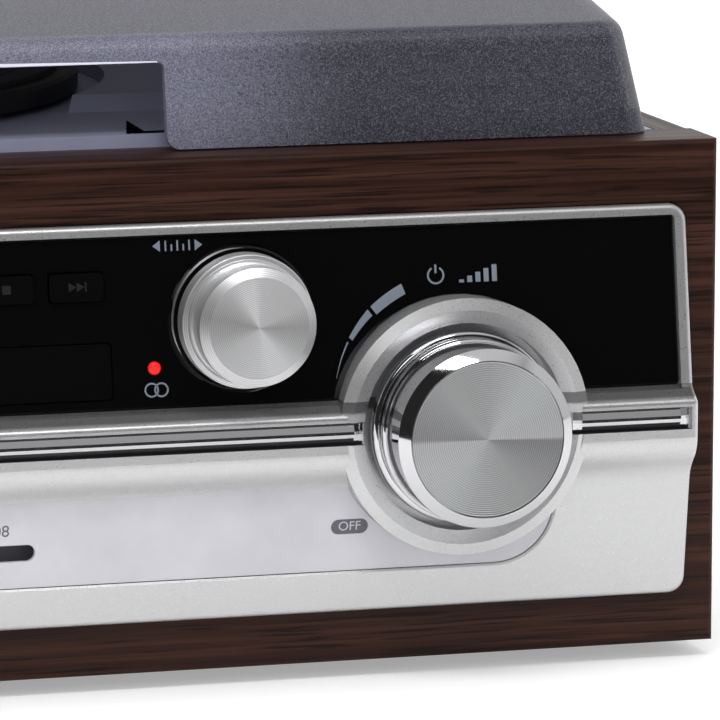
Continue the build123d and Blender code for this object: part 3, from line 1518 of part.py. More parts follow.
# ------------------------------------------------------------------ sound and mains
def make_speakers():
    face = inner_half
    wall = speaker_frame_wall
    rear = face - speaker_depth
    back = rear + magnet_length
    shoulder = (back, magnet_radius + speaker_shoulder)
    basket = [(face, speaker_lip_radius), (face, speaker_frame_radius), (face - wall, speaker_frame_radius),
              (face - wall, speaker_hole_radius + speaker_shoulder), shoulder, (back, magnet_radius),
              (rear, magnet_radius), (rear, 0), (back + wall, 0), (back + wall, magnet_radius),
              (face - wall, speaker_lip_radius)]
    basket = turned_x(basket, speaker_y, speaker_z)

    front = face + cone_thickness
    inner = speaker_lip_radius - cone_edge_gap
    outer = speaker_hole_radius - joint_gap
    deep = face - cone_depth
    cap = deep + coil_cap_rise
    crown = cap + coil_cap_crown
    cone = [(face, inner), (face, outer), (front, outer), (front, inner),
            (deep + cone_thickness, coil_radius), (cap, coil_cap_radius), (crown, 0), (crown - cone_thickness, 0),
            (cap - cone_thickness, coil_cap_radius - coil_wall), (deep, coil_radius - coil_wall)]
    cone = turned_x(cone, speaker_y, speaker_z)
    save("speaker_units", basket, cone, mirrored(basket), mirrored(cone))

    grille = rod_x(speaker_y, speaker_z, grille_radius, half_width - grille_thickness, half_width)
    pitch = grille_slot + grille_bar
    rim = grille_radius - grille_bar
    rows = int(rim / pitch)
    for row in range(-rows, rows + 1):
        z = speaker_z + row * pitch
        reach = rim ** 2 - (abs(row) * pitch + grille_slot / 2) ** 2
        if reach > grille_slot ** 2:
            half = sqrt(reach)
            grille -= block((half_width - grille_thickness - overcut, half_width + overcut),
                            (speaker_y - half, speaker_y + half), (z - grille_slot / 2, z + grille_slot / 2))
    save("speaker_grilles", grille, mirrored(grille))


def make_transformer():
    """Iron core with its winding round it, on a foot."""
    width, depth, height = transformer_size
    x = (transformer_x - width / 2, transformer_x + width / 2)
    y = (transformer_y - depth / 2, transformer_y + depth / 2)
    low = base_thickness
    high = low + height
    margin_x, margin_y = core_margin
    core = block((x[0] + margin_x, x[1] - margin_x), (y[0] + margin_y, y[1] - margin_y), (low, high))
    winding = block((x[0] + winding_margin, x[1] - winding_margin), y,
                    (low + winding_drop, high - winding_drop))
    winding = fillet(winding.edges().filter_by(Axis.Z), winding_rounding)
    foot = block(x, (y[0] + transformer_foot_margin, y[1] - transformer_foot_margin),
                 (low, low + transformer_foot))
    save("mains_transformer", core + winding + foot)


def make_board():
    """Main board on four posts, with its heat sink, capacitors and a connector."""
    width, depth, thickness = board_size
    low = base_thickness + board_standoff
    top = low + thickness
    x = (board_x - width / 2, board_x + width / 2)
    y = (board_y - depth / 2, board_y + depth / 2)
    board = block(x, y, (low, top))
    for post_x in (x[0] + board_post_inset, x[1] - board_post_inset):
        for post_y in (y[0] + board_post_inset, y[1] - board_post_inset):
            board += rod_z(post_x, post_y, board_post_radius, base_thickness, low)

    front = y[0] + sink_front
    left = x[0] + sink_margin
    board += block((left, x[1] - sink_margin), (front, front + sink_depth), (top, top + sink_height))
    for fin in range(fin_count - 1):
        gap = left + fin_thickness + fin * fin_pitch
        board -= block((gap, gap + fin_pitch - fin_thickness),
                       (front + sink_back, front + sink_depth + overcut),
                       (top + sink_base, top + sink_height + overcut))
    for place in range(capacitor_count):
        board += rod_z(x[0] + capacitor_x + capacitor_pitch * place, y[1] - capacitor_inset, capacitor_radius,
                       top, top + capacitor_height)
    length, width, height = connector_size
    right = x[1] - connector_inset
    back = y[1] - connector_inset
    board += block((right - length, right), (back - width, back), (top, top + height))
    save("main_board", board)


def make_inlet():
    """Mains inlet: body through the back panel, flange, and a cavity with two pins."""
    face = cabinet_depth + inlet_flange
    inlet = along_y(inlet_outline(0, inlet_corner), cabinet_depth - inlet_depth, cabinet_depth)
    inlet += along_y(inlet_outline(inlet_flange_step, inlet_flange_step), cabinet_depth, face)
    wide, tall, deep = inlet_cavity
    floor = face - deep
    cavity = rounded_rectangle((inlet_x - wide / 2, inlet_x + wide / 2),
                               (inlet_z - tall / 2, inlet_z + tall / 2), tall * inlet_cavity_rounding)
    inlet -= along_y(cavity, floor, face + overcut)
    for side in (-1, 1):
        inlet += rod_y(inlet_x + side * inlet_pin_pitch / 2, inlet_z, inlet_pin_radius,
                       floor - inlet_pin_root, face - inlet_pin_drop)
    save("mains_inlet", inlet)


def make_sockets():
    """Phono sockets in one block behind the back panel, each with a ring that a plug grips."""
    places = socket_places()
    margin = socket_radius + socket_block_wall
    panel = cabinet_depth - back_thickness
    end = cabinet_depth + socket_ring_length
    sockets = block((places[0] - margin, places[-1] + margin), (panel - socket_block_depth, panel),
                    (socket_z - margin, socket_z + margin))
    for x in places:
        sockets += rod_y(x, socket_z, socket_radius - socket_neck_step, panel, cabinet_depth)
        sockets += rod_y(x, socket_z, socket_radius, cabinet_depth, end)
        sockets -= rod_y(x, socket_z, socket_bore, cabinet_depth, end + overcut)
    save("phono_sockets", sockets)


def build():
    make_cabinet()
    make_screws()
    make_bezel()
    make_front_fittings()
    make_controls()
    make_buttons()
    make_disc_player()
    make_deck()
    make_platter()
    make_drive()
    make_arm()
    make_arm_mounting()
    make_cover()
    make_speakers()
    make_transformer()
    make_board()
    make_inlet()
    make_sockets()


build()
os.makedirs("parts", exist_ok=True)
for name, shape in parts.items():
    export_step(shape, f"parts/{name}.step")
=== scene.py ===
"""Looks of the stereo music centre: its finishes, printed marks, turned knobs, camera and light.

Lengths are in millimetres and in cabinet coordinates: X to the right from the middle, Y to the back from
the front board's face, Z up from the cabinet's underside. at() turns them into metres in the frame.
"""
import json
from math import cos, pi, radians, sin, tau

import bmesh
import bpy
from mathutils import Euler, Matrix, Vector


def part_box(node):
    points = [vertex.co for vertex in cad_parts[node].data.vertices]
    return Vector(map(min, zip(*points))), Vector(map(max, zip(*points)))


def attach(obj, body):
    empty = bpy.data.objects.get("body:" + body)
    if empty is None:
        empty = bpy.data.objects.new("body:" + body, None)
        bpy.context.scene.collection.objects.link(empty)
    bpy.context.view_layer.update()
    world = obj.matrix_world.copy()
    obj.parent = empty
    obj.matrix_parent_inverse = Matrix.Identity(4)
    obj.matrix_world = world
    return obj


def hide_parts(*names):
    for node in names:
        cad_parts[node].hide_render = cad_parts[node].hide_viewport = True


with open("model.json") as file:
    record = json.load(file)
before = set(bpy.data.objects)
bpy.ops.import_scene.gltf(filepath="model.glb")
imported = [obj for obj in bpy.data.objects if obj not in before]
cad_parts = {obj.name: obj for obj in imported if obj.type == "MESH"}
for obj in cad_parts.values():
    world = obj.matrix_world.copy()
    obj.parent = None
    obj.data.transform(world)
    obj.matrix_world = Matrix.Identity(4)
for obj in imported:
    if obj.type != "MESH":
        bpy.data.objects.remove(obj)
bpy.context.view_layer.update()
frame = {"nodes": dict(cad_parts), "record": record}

MM = 0.001
scene = bpy.context.scene
board_low, board_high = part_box("front_board")
cabinet_corner = Vector((0.0, board_low.y, board_low.z))

# ------------------------------------------------------------------ sizes of the front
glass_low = (-7.55, 63.3)          # (y, z) of the glass face's lower and upper edge
glass_high = (-0.85, 105.2)
plate_low = (-3.2, 15.7)           # (y, z) of two points on the scale plate's face
plate_high = (-6.9, 42.6)
ledge_bottom = 61.3                # heights of the ledge under the glass
ledge_top = 63.6
channel_floor = -11.3              # y of the floor of the bars' channels
channel_bottom = 53.6              # heights of the channels' lower and upper wall
channel_top = 58.9
bar_bottom = 54.5
bar_top = 58.7
bar_edge = -11.8                   # y of a bar's long edges
bar_front = -12.7                  # y of its flat
bar_flat = (56.1, 56.8)            # heights of the flat between a bar's two facets
bar_hip = 2.2                      # length of the slope at a bar's end
outer_bar_reach = 26.2             # from a large knob's axis to the outer and to the middle bar
middle_bar_reach = 24.6
button_proud = 1.0
face_pitch = 0.5                   # between the turned rings of a large and a small knob's face
cap_pitch = 0.42
ink = 0.03                         # thickness of a printed mark

first_number = -40.0               # x of the scale's first number
number_spacing = 8.0
number_height = 36.35              # height of the numbers' middle
number_size = 3.9
pill_place = (123.6, 33.3)         # (x, z)
letters_place = (123.6, 33.35)
mark_height = 90.9                 # height of the marks above the volume knob
wedge_foot = 33.0                  # inner radius at the upper end of each wedge
# (angle from and to, inner radius at the start, outer radius at the start and at the end)
wedges = ((158.0, 142.6, 31.7, 31.8, 33.4), (140.9, 127.8, 32.5, 33.6, 34.8),
          (126.2, 111.4, 32.5, 34.9, 35.6))

# ------------------------------------------------------------------ sizes of the cover and deck
cover_foot = (11.5, 120.4)         # (y, z) of the front wall's foot
cutout_top = (15.2, 140.2)         # (y, z) where that wall meets the top of its cut-out
highlight_left = -115.4
highlight_right = 83.4
painted_light_inner = 85.0                  # the wall is painted paler above the cut-out, a painted pool of light, and fades out to the sides
painted_light_outer = 135.0
painted_light_front = 17.0                  # and to the back
painted_light_back = 21.0
recess_outline = [(77.7, 22.3), (117.7, 22.3), (117.7, 27.3), (83.2, 27.3), (83.9, 47.3)]
recess_middle = (82.5, 26.0)
recess_floor = 120.55              # heights of the dark sheet's underside and rim, a sheet of painted shade
recess_rim = 122.95

# ------------------------------------------------------------------ camera
camera_place = (-261.559, -1355.288, 306.227)
camera_azimuth = 16.0256           # degrees to the right of straight ahead
camera_elevation = 9.4592          # degrees below the horizon
camera_roll = 0.0739
camera_lens = 308.474              # on a sensor 36 mm wide

# ------------------------------------------------------------------ light
ambient_strength = 0.60
front_dark = 0.02                  # what polished faces see straight in front
right_grey = 0.60                  # what they see at the right, and high in front
high_grey = 0.62
floor_front = -0.45                # the floor that polished faces see ends here, in metres
floor_left = -0.75
lamps = {                          # place and aim in metres, width and height in metres, watts
    "key_softbox": ((-0.075, -0.915, 1.35), (0.15, -0.18, 0.06), 0.92, 0.26, 7.5),
    "top_softbox": ((-0.15, 0.35, 1.45), (0.0, 0.0, 0.1), 1.3, 1.0, 10.0),
    "right_fill": ((1.75, -0.35, 0.75), (0.1, -0.1, 0.08), 1.9, 1.7, 6.5),
    "front_softbox": ((-0.15, -1.49, 0.69), (0.15, -0.17, 0.06), 0.6, 0.42, 1.1),
    "left_fill": ((-1.6, -0.6, 0.75), (-0.1, -0.1, 0.08), 1.6, 1.4, 5.0),
}
unmirrored_lamps = ("left_fill", "right_fill", "top_softbox")  # polished faces don't see these


def at(x, y, z):
    """Point in metres from cabinet millimetres."""
    return cabinet_corner + Vector((x, y, z)) * MM


def span(node):
    """Lowest and highest corner of a CAD node in cabinet millimetres."""
    low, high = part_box(node)
    return (low - cabinet_corner) / MM, (high - cabinet_corner) / MM


def axis_of(node):
    """(x, z) of a front knob's axis."""
    middle = sum(span(node), Vector()) / 2
    return middle.x, middle.z


def srgb(red, green, blue):
    """Linear colour of one given in 0 to 255."""
    values = [value / 255 for value in (red, green, blue)]
    return tuple(((value + 0.055) / 1.055) ** 2.4 if value > 0.04 else value / 12.92
                 for value in values) + (1.0,)


def scaled(colour, factor):
    return tuple(channel * factor for channel in colour[:3]) + (1.0,)


# ------------------------------------------------------------------ materials
class Surface:
    """One material: a Principled shader and the textures that feed it."""

    def __init__(self, name, colour, roughness, **sockets):
        self.material = bpy.data.materials.new(name)
        self.material.use_nodes = True
        self.tree = self.material.node_tree
        self.shader = self.tree.nodes["Principled BSDF"]
        self.colour = colour
        self.shader.inputs["Base Color"].default_value = colour
        self.shader.inputs["Roughness"].default_value = roughness
        for socket, value in sockets.items():
            self.shader.inputs[socket.replace("_", " ")].default_value = value
        self.place = self.add("TexCoord").outputs["Object"]

    def add(self, kind, inputs=(), **settings):
        node = self.tree.nodes.new("ShaderNode" + kind)
        for name, value in settings.items():
            setattr(node, name, value)
        for key, value in dict(inputs).items():
            if isinstance(value, bpy.types.NodeSocket):
                self.tree.links.new(value, node.inputs[key])
            else:
                node.inputs[key].default_value = value
        return node

    def link(self, value, socket):
        self.tree.links.new(value, self.shader.inputs[socket])

    def math(self, operation, first, second=0.0):
        return self.add("Math", {0: first, 1: second}, operation=operation).outputs[0]

    def noise(self, scale, detail=3.0, stretch=(1, 1, 1), distortion=0.0):
        """Noise with that many features a metre; a small stretch draws it out along an axis."""
        mapped = self.add("Mapping", {"Vector": self.place, "Scale": [scale * part for part in stretch]})
        inputs = {"Vector": mapped.outputs[0], "Scale": 1.0, "Detail": detail, "Distortion": distortion}
        return self.add("TexNoise", inputs).outputs["Fac"]

    def ramp(self, value, *stops):
        """Colour ramp through (position, colour or grey level) stops."""
        node = self.add("ValToRGB", {"Fac": value})
        elements = node.color_ramp.elements
        for index, (position, colour) in enumerate(stops):
            if 0 < index < len(stops) - 1:
                element = elements.new(position)
            else:
                element = elements[0 if index == 0 else -1]
                element.position = position
            element.color = colour if isinstance(colour, tuple) else (colour, colour, colour, 1.0)
        return node.outputs["Color"]

    def mix(self, factor, first, second, mode="MIX"):
        node = self.add("Mix", {0: factor}, data_type="RGBA", blend_type=mode)
        for index, value in ((6, first), (7, second)):
            if isinstance(value, bpy.types.NodeSocket):
                self.tree.links.new(value, node.inputs[index])
            else:
                node.inputs[index].default_value = value
        return node.outputs[2]

    def tint(self, value, low, high):
        """Base colour between two brightnesses of itself."""
        self.link(self.mix(value, scaled(self.colour, low), scaled(self.colour, high)), "Base Color")

    def ranged(self, value, start, end, before=0.0, after=1.0, **settings):
        """Value mapped from one range to another, and held beyond it."""
        inputs = {"Value": value, "From Min": start, "From Max": end, "To Min": before, "To Max": after}
        return self.add("MapRange", inputs, **settings).outputs["Result"]

    def vary(self, socket, value, low, high):
        self.link(self.ranged(value, 0.3, 0.7, low, high), socket)

    def bump(self, height, depth):
        """Relief of that depth in millimetres."""
        node = self.add("Bump", {"Height": height, "Distance": depth * MM, "Strength": 1.0})
        self.link(node.outputs["Normal"], "Normal")


def wood(name, grain, dark, middle, light, gloss=0.4):
    """Veneer with straight grain along an axis, given as 0, 1 or 2."""
    surface = Surface(name, middle, gloss, Specular_IOR_Level=0.22)

    def along(lengthways, across):
        return [lengthways if axis == grain else across for axis in range(3)]

    bands = surface.noise(1.0, 3.0, along(1.8, 60.0), 0.3)
    streaks = surface.noise(1.0, 4.0, along(7.0, 620.0), 0.05)
    pores = surface.noise(1.0, 2.0, along(40.0, 1700.0))
    tone = surface.math("ADD", surface.math("MULTIPLY", bands, 0.35), surface.math("MULTIPLY", streaks, 0.65))
    colour = surface.ramp(tone, (0.38, dark), (0.5, middle), (0.62, light))
    pore = surface.ramp(pores, (0.54, 0.0), (0.64, 0.85))
    surface.link(surface.mix(pore, colour, scaled(dark, 0.4)), "Base Color")
    surface.vary("Roughness", streaks, gloss * 0.85, gloss * 1.25)
    surface.bump(surface.mix(0.5, streaks, pores), 0.035)
    return surface.material


def moulded(name, colour, roughness, grain=1500, depth=0.02, **sockets):
    """Moulded plastic or rubber with a fine texture and a slightly uneven gloss."""
    surface = Surface(name, colour, roughness, **sockets)
    patches = surface.noise(grain / 25, 3.0)
    surface.tint(patches, 0.85, 1.15)
    surface.vary("Roughness", patches, roughness * 0.85, min(roughness * 1.2, 1.0))
    surface.bump(surface.noise(grain, 2.0), depth)
    return surface.material


def metal(name, colour, roughness, grain=2500, depth=0.004):
    """Plain or cast metal."""
    surface = Surface(name, colour, roughness, Metallic=1.0)
    texture = surface.noise(grain, 2.0)
    surface.tint(surface.noise(60, 2.0), 0.94, 1.05)
    surface.vary("Roughness", texture, roughness * 0.8, roughness * 1.25)
    surface.bump(texture, depth)
    return surface.material


def satin_silver():
    """Metallic paint: a fine bright grain under a satin lacquer, with painted shade along the ledge under the
    glass.
    """
    surface = Surface("satin_silver", srgb(220, 220, 221), 0.32, Metallic=0.8, Specular_IOR_Level=0.5)
    flakes = surface.noise(2600, 2.0)
    grainy = surface.mix(flakes, scaled(surface.colour, 0.88), scaled(surface.colour, 1.1))
    # painted shade: a dark band at the ledge's height, standing in for the dark the ledge reflects, on every
    # satin silver face at that height
    height = surface.add("SeparateXYZ", {0: surface.place}).outputs["Z"]
    low, high = at(0, 0, ledge_bottom).z, at(0, 0, ledge_top).z
    above = surface.ranged(height, low - 0.6 * MM, low)
    below = surface.ranged(height, high + 0.2 * MM, high)
    painted_ledge_shade = surface.math("MULTIPLY", surface.math("MULTIPLY", above, below), 0.7)
    surface.link(surface.mix(painted_ledge_shade, grainy, srgb(60, 60, 63)), "Base Color")
    surface.vary("Roughness", flakes, 0.27, 0.38)
    surface.bump(surface.noise(1500, 3.0), 0.010)
    return surface.material


def spun(name, colour, roughness, axis, pitch, stops, metallic=1.0):
    """Metal turned about a knob's axis, with fine rings and a painted sheen: highlights and shade painted
    into the base colour by the angle round the axis.
    """
    surface = Surface(name, colour, roughness, Metallic=metallic, Anisotropic=0.55)
    shifted = surface.add("VectorMath", {0: surface.place, 1: at(axis[0], 0, axis[1])}, operation="SUBTRACT")
    parts = surface.add("SeparateXYZ", {0: shifted.outputs[0]})
    angle = surface.math("ARCTAN2", parts.outputs["Z"], parts.outputs["X"])
    turn = surface.math("FRACT", surface.math("ADD", surface.math("DIVIDE", angle, tau), 1.0))
    # painted sheen: brightness by the angle round the axis, painted highlights and shade in the base colour
    painted_sheen = surface.ramp(turn, *[(degree / 360, level) for degree, level in stops])
    flat = surface.add("CombineXYZ", {"X": parts.outputs["X"], "Z": parts.outputs["Z"]}).outputs[0]
    radius = surface.add("VectorMath", {0: flat}, operation="LENGTH").outputs["Value"]
    cut = surface.math("PINGPONG", surface.math("MULTIPLY", radius, 2 / (pitch * MM)), 1.0)
    lines = surface.ramp(cut, (0.15, 0.78), (0.85, 1.12))
    with_painted_sheen = surface.mix(1.0, colour, painted_sheen, "MULTIPLY")
    surface.link(surface.mix(1.0, with_painted_sheen, lines, "MULTIPLY"), "Base Color")
    tangent = surface.add("Tangent", direction_type="RADIAL", axis="Y")
    surface.link(tangent.outputs[0], "Tangent")
    return surface.material


def spun_face(name, axis):
    return spun(name, srgb(226, 226, 229), 0.3, axis, face_pitch, painted_face_sheen)


def spun_cap(name, axis):
    return spun(name, srgb(236, 236, 238), 0.32, axis, cap_pitch, painted_cap_sheen, 0.62)


def smoked_acrylic():
    """Smoked acrylic with a moulded grain, a little see-through, with a painted pool of light that makes the
    wall above the cut-out paler.
    """
    surface = Surface("smoked_acrylic", srgb(74, 74, 86), 0.34, IOR=1.49)
    grain = surface.noise(2700, 2.0)
    plain = surface.ramp(grain, (0.34, srgb(40, 40, 49)), (0.5, srgb(69, 69, 80)),
                         (0.66, srgb(106, 106, 120)))
    # painted light: a paler copy of the grain for the wall above the cut-out
    painted_light_tint = surface.ramp(grain, (0.34, srgb(98, 98, 113)), (0.5, srgb(126, 126, 145)),
                         (0.66, srgb(154, 154, 175)))
    place = surface.add("SeparateXYZ", {0: surface.place})
    aside = surface.math("ABSOLUTE", place.outputs["X"])
    middle = surface.ranged(aside, painted_light_inner * MM, painted_light_outer * MM, 1.0, 0.0,
                            interpolation_type="SMOOTHSTEP")
    front = surface.ranged(place.outputs["Y"], at(0, painted_light_front, 0).y, at(0, painted_light_back, 0).y, 1.0, 0.0)
    surface.link(surface.mix(surface.math("MULTIPLY", middle, front), plain, painted_light_tint), "Base Color")
    facing = surface.add("LayerWeight", {"Blend": 0.35}).outputs["Facing"]
    surface.link(surface.ranged(facing, 0.1, 0.95, 0.70, 0.96), "Alpha")
    surface.bump(grain, 0.008)
    return surface.material


def black_glass():
    surface = Surface("black_glass", srgb(7, 7, 8), 0.04, Specular_IOR_Level=0.5)
    surface.vary("Roughness", surface.noise(40, 2.0), 0.03, 0.06)
    return surface.material


def lit(name, colour, strength, roughness=0.25):
    """Lens or digit that glows a little, brighter in its middle patches."""
    surface = Surface(name, colour, roughness, Emission_Strength=strength)
    glow = surface.ramp(surface.noise(700, 1.0), (0.3, scaled(colour, 0.8)), (0.7, colour))
    surface.link(glow, "Emission Color")
    return surface.material


def circuit_board():
    """Green lacquer with lighter tracks and solder spots."""
    surface = Surface("circuit_board", srgb(22, 84, 44), 0.35)
    cells = surface.add("TexVoronoi", {"Vector": surface.place, "Scale": 230.0}, distance="CHEBYCHEV",
                        feature="F1")
    tracks = surface.ramp(cells.outputs["Distance"], (0.34, srgb(22, 84, 44)), (0.42, srgb(52, 128, 70)))
    surface.link(surface.mix(surface.ramp(cells.outputs["Distance"], (0.06, 1.0), (0.1, 0.0)), tracks,
                             srgb(190, 192, 196)), "Base Color")
    surface.bump(cells.outputs["Distance"], 0.03)
    return surface.material


def printed(name, colour, roughness=0.5):
    """Printing ink: nearly even, with a faint mottle."""
    surface = Surface(name, colour, roughness, Specular_IOR_Level=0.3)
    surface.tint(surface.noise(2500, 2.0), 0.93, 1.06)
    return surface.material


volume_axis = axis_of("volume_knob_face")
function_axis = axis_of("function_knob_face")
tuning_axis = axis_of("tuning_knob")
tone_axis = axis_of("tone_knob")

# (degrees anticlockwise from the right, brightness) of the painted sheen round a turned face and cap:
# highlights and shade painted into the base colour
painted_face_sheen = ((0, 1.0), (55, 0.98), (85, 0.80), (100, 0.78), (130, 0.82), (178, 0.58), (181, 0.98),
              (225, 0.95), (265, 0.82), (300, 0.78), (357, 0.50), (360, 1.0))
painted_cap_sheen = ((0, 0.55), (25, 0.80), (85, 0.85), (98, 1.0), (115, 1.0), (135, 0.72), (165, 0.52),
             (185, 0.60), (215, 0.82), (268, 0.90), (285, 1.0), (305, 1.0), (330, 0.72), (360, 0.55))
walnut = (srgb(33, 15, 9), srgb(49, 24, 15), srgb(68, 39, 27))

materials = {
    "walnut_veneer": wood("walnut_veneer", 0, *walnut),
    "satin_silver": satin_silver(),
    "smoked_acrylic": smoked_acrylic(),
    "black_glass": black_glass(),
    "display_glass": moulded("display_glass", srgb(8, 12, 16), 0.06, 40, 0.0, Specular_IOR_Level=0.5),
    "scale_white": moulded("scale_white", srgb(212, 212, 218), 0.42, 1800, 0.004, Specular_IOR_Level=0.35),
    "bright_chrome": metal("bright_chrome", srgb(226, 226, 229), 0.06, 300, 0.0),
    "turned_aluminium": metal("turned_aluminium", srgb(205, 205, 208), 0.3),
    "satin_chrome": metal("satin_chrome", srgb(214, 214, 217), 0.2, 1800, 0.003),
    "lamp_red": lit("lamp_red", srgb(225, 28, 26), 0.6),
    "deck_grey": moulded("deck_grey", srgb(150, 153, 178), 0.42, 2200, 0.012),
    "black_plastic": moulded("black_plastic", srgb(24, 24, 26), 0.42),
    "gloss_black": moulded("gloss_black", srgb(8, 8, 9), 0.05, 80, 0.0, Specular_IOR_Level=0.5),
    "mat_rubber": moulded("mat_rubber", srgb(48, 47, 55), 0.7, 1200, 0.02),
    "foot_rubber": moulded("foot_rubber", srgb(26, 26, 27), 0.75, 900, 0.03),
    "belt_rubber": moulded("belt_rubber", srgb(30, 30, 31), 0.6, 900, 0.01),
    "fibreboard": wood("fibreboard", 0, srgb(92, 72, 54), srgb(116, 92, 70), srgb(138, 112, 86), 0.7),
    "pine_cleat": wood("pine_cleat", 1, srgb(168, 130, 84), srgb(196, 158, 108), srgb(214, 180, 130), 0.6),
    "zinc_steel": metal("zinc_steel", srgb(188, 188, 184), 0.34, 900, 0.006),
    "bearing_brass": metal("bearing_brass", srgb(206, 168, 92), 0.25, 1600, 0.004),
    "cone_paper": moulded("cone_paper", srgb(38, 37, 36), 0.85, 700, 0.06),
    "circuit_board": circuit_board(),
    "trough_black": moulded("trough_black", srgb(104, 104, 110), 0.7, 900, 0.02),
    "pointer_red": printed("pointer_red", srgb(206, 62, 34), 0.4),
}
side_wood = wood("side_walnut", 1, *walnut)
glass_ink = printed("glass_ink", srgb(122, 130, 142))
plate_ink = printed("plate_ink", srgb(104, 104, 112))
pill_ink = printed("pill_ink", srgb(206, 206, 214))
symbol_ink = printed("symbol_ink", srgb(26, 26, 28))
# painted highlight: bright ink for the strip along the cover's cut-out edge
painted_lip_highlight = printed("painted_lip_highlight", srgb(226, 226, 240), 0.3)
digit_light = lit("digit_light", srgb(96, 200, 235), 1.1)
face_metal = {"volume": spun_face("volume_face", volume_axis),
              "function": spun_face("function_face", function_axis)}
cap_metal = {"tuning": spun_cap("tuning_cap", tuning_axis), "tone": spun_cap("tone_cap", tone_axis)}


def dress_cad():
    """Give every CAD node the material of its slot, but the side boards walnut grained along Y and the
    buttons gloss black.
    """
    for subpart in frame["record"]["subparts"]:
        node = frame["nodes"][subpart["node"]]
        material = materials[subpart["material_slot"]]
        if subpart["node"].startswith("side_board"):
            material = side_wood
        elif subpart["node"].endswith("_button"):
            material = materials["gloss_black"]
        if not node.material_slots:
            node.data.materials.append(material)
        for slot in node.material_slots:
            slot.material = material


# ------------------------------------------------------------------ making pieces
def piece(name, mesh, slot, body, material=None, sharp=32.0):
    """Object from a bmesh in metres, smooth but for its sharp edges, that rides on a body."""
    bmesh.ops.recalc_face_normals(mesh, faces=mesh.faces)
    for face in mesh.faces:
        face.smooth = True
    for edge in mesh.edges:
        edge.smooth = len(edge.link_faces) == 2 and edge.calc_face_angle(pi) < radians(sharp)
    data = bpy.data.meshes.new(name)
    mesh.to_mesh(data)
    mesh.free()
    data.materials.append(material or materials[slot])
    made = bpy.data.objects.new(name, data)
    scene.collection.objects.link(made)
    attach(made, body)
    return made


def softened(points, steps=6):
    """Outline through (a, b, radius) points, with each corner rounded to its radius."""
    outline = []
    for index, (a, b, radius) in enumerate(points):
        corner = Vector((a, b))
        if radius == 0 or index in (0, len(points) - 1):
            outline.append((a, b))
            continue
        before = Vector(points[index - 1][:2]) - corner
        after = Vector(points[index + 1][:2]) - corner
        half = before.angle(after) / 2
        reach = min(radius / (sin(half) / cos(half)), before.length * 0.48, after.length * 0.48)
        start = corner + before.normalized() * reach
        end = corner + after.normalized() * reach
        for step in range(steps + 1):
            share = step / steps
            point = start * (1 - share) ** 2 + corner * 2 * share * (1 - share) + end * share ** 2
            outline.append((point.x, point.y))
    return outline


def turned(profile, to_frame, segments=192):
    """bmesh turned from (radius, height) points; to_frame(x, y, height) gives the point in metres."""
    mesh = bmesh.new()
    rings = []
    for radius, height in profile:
        if radius < 1e-6:
            rings.append([mesh.verts.new(to_frame(0, 0, height))])
            continue
        angles = [tau * step / segments for step in range(segments)]
        points = [(radius * cos(angle), radius * sin(angle), height) for angle in angles]
        rings.append([mesh.verts.new(to_frame(*point)) for point in points])
    for low, high in zip(rings, rings[1:]):
        for step in range(segments):
            after = (step + 1) % segments
            places = ((low, step), (low, after), (high, after), (high, step))
            corners = [row[place % len(row)] for row, place in places]
            unique = list(dict.fromkeys(corners))
            if len(unique) > 2:
                mesh.faces.new(unique)
    return mesh


def front_turned(profile, axis, segments=192):
    """Turned about a front knob's axis; heights are millimetres in front of the wood."""
    return turned(profile, lambda x, z, proud: at(axis[0] + x, -proud, axis[1] + z), segments)


def deck_turned(profile, axis, segments=192):
    """Turned about an upright axis; heights are cabinet heights."""
    return turned(profile, lambda x, y, height: at(axis[0] + x, axis[1] + y, height), segments)


class Face:
    """Flat face of the front that leans, through two (y, z) points, lifted out by some millimetres."""

    def __init__(self, low, high, lift=0.0):
        self.low = Vector((0, *low))
        self.up = (Vector((0, *high)) - self.low).normalized()
        self.out = Vector((1, 0, 0)).cross(self.up)
        self.lift = lift

    def matrix(self, x, z):
        """Turns (right, up, out) millimetres about a place on the face into metres in the frame."""
        place = self.low + self.up * ((z - self.low.z) / self.up.z) + self.out * self.lift
        columns = Matrix((Vector((1, 0, 0)), self.up, self.out)).transposed().to_4x4()
        return Matrix.Translation(at(x, place.y, place.z)) @ columns @ Matrix.Scale(MM, 4)


glass = Face(glass_low, glass_high)
plate = Face(plate_low, plate_high)
button_face = Face(glass_low, glass_high, button_proud)


def add_outline(mesh, matrix, points, thickness=ink):
    """Add a flat shape of that thickness, given by its outline."""
    front = [mesh.verts.new(matrix @ Vector((x, y, thickness))) for x, y in points]
    back = [mesh.verts.new(matrix @ Vector((x, y, -0.01))) for x, y in points]
    mesh.faces.new(front)
    mesh.faces.new(back[::-1])
    for index in range(len(points)):
        after = (index + 1) % len(points)
        mesh.faces.new((front[index], back[index], back[after], front[after]))


def add_band(mesh, matrix, inner, outer, thickness=ink, closed=False):
    """Add a flat band between two rows of points."""
    rows = [[mesh.verts.new(matrix @ Vector((x, y, height))) for x, y in points]
            for points, height in ((inner, thickness), (outer, thickness), (outer, -0.01), (inner, -0.01))]
    count = len(inner)
    for index in range(count if closed else count - 1):
        after = (index + 1) % count
        for first, second in zip(rows, rows[1:] + rows[:1]):
            mesh.faces.new((first[index], first[after], second[after], second[index]))
    if not closed:
        mesh.faces.new([row[0] for row in rows])
        mesh.faces.new([row[-1] for row in rows][::-1])


def arc(radius, start, end, steps=48, centre=(0.0, 0.0)):
    angles = [radians(start + (end - start) * step / steps) for step in range(steps + 1)]
    return [(centre[0] + radius * cos(angle), centre[1] + radius * sin(angle)) for angle in angles]


def swept(start, end, first, last, steps=16):
    """Points of an arc whose radius changes evenly from first to last."""
    shares = [step / steps for step in range(steps + 1)]
    return [arc(first + (last - first) * share, start + (end - start) * share, 0, 1)[0] for share in shares]


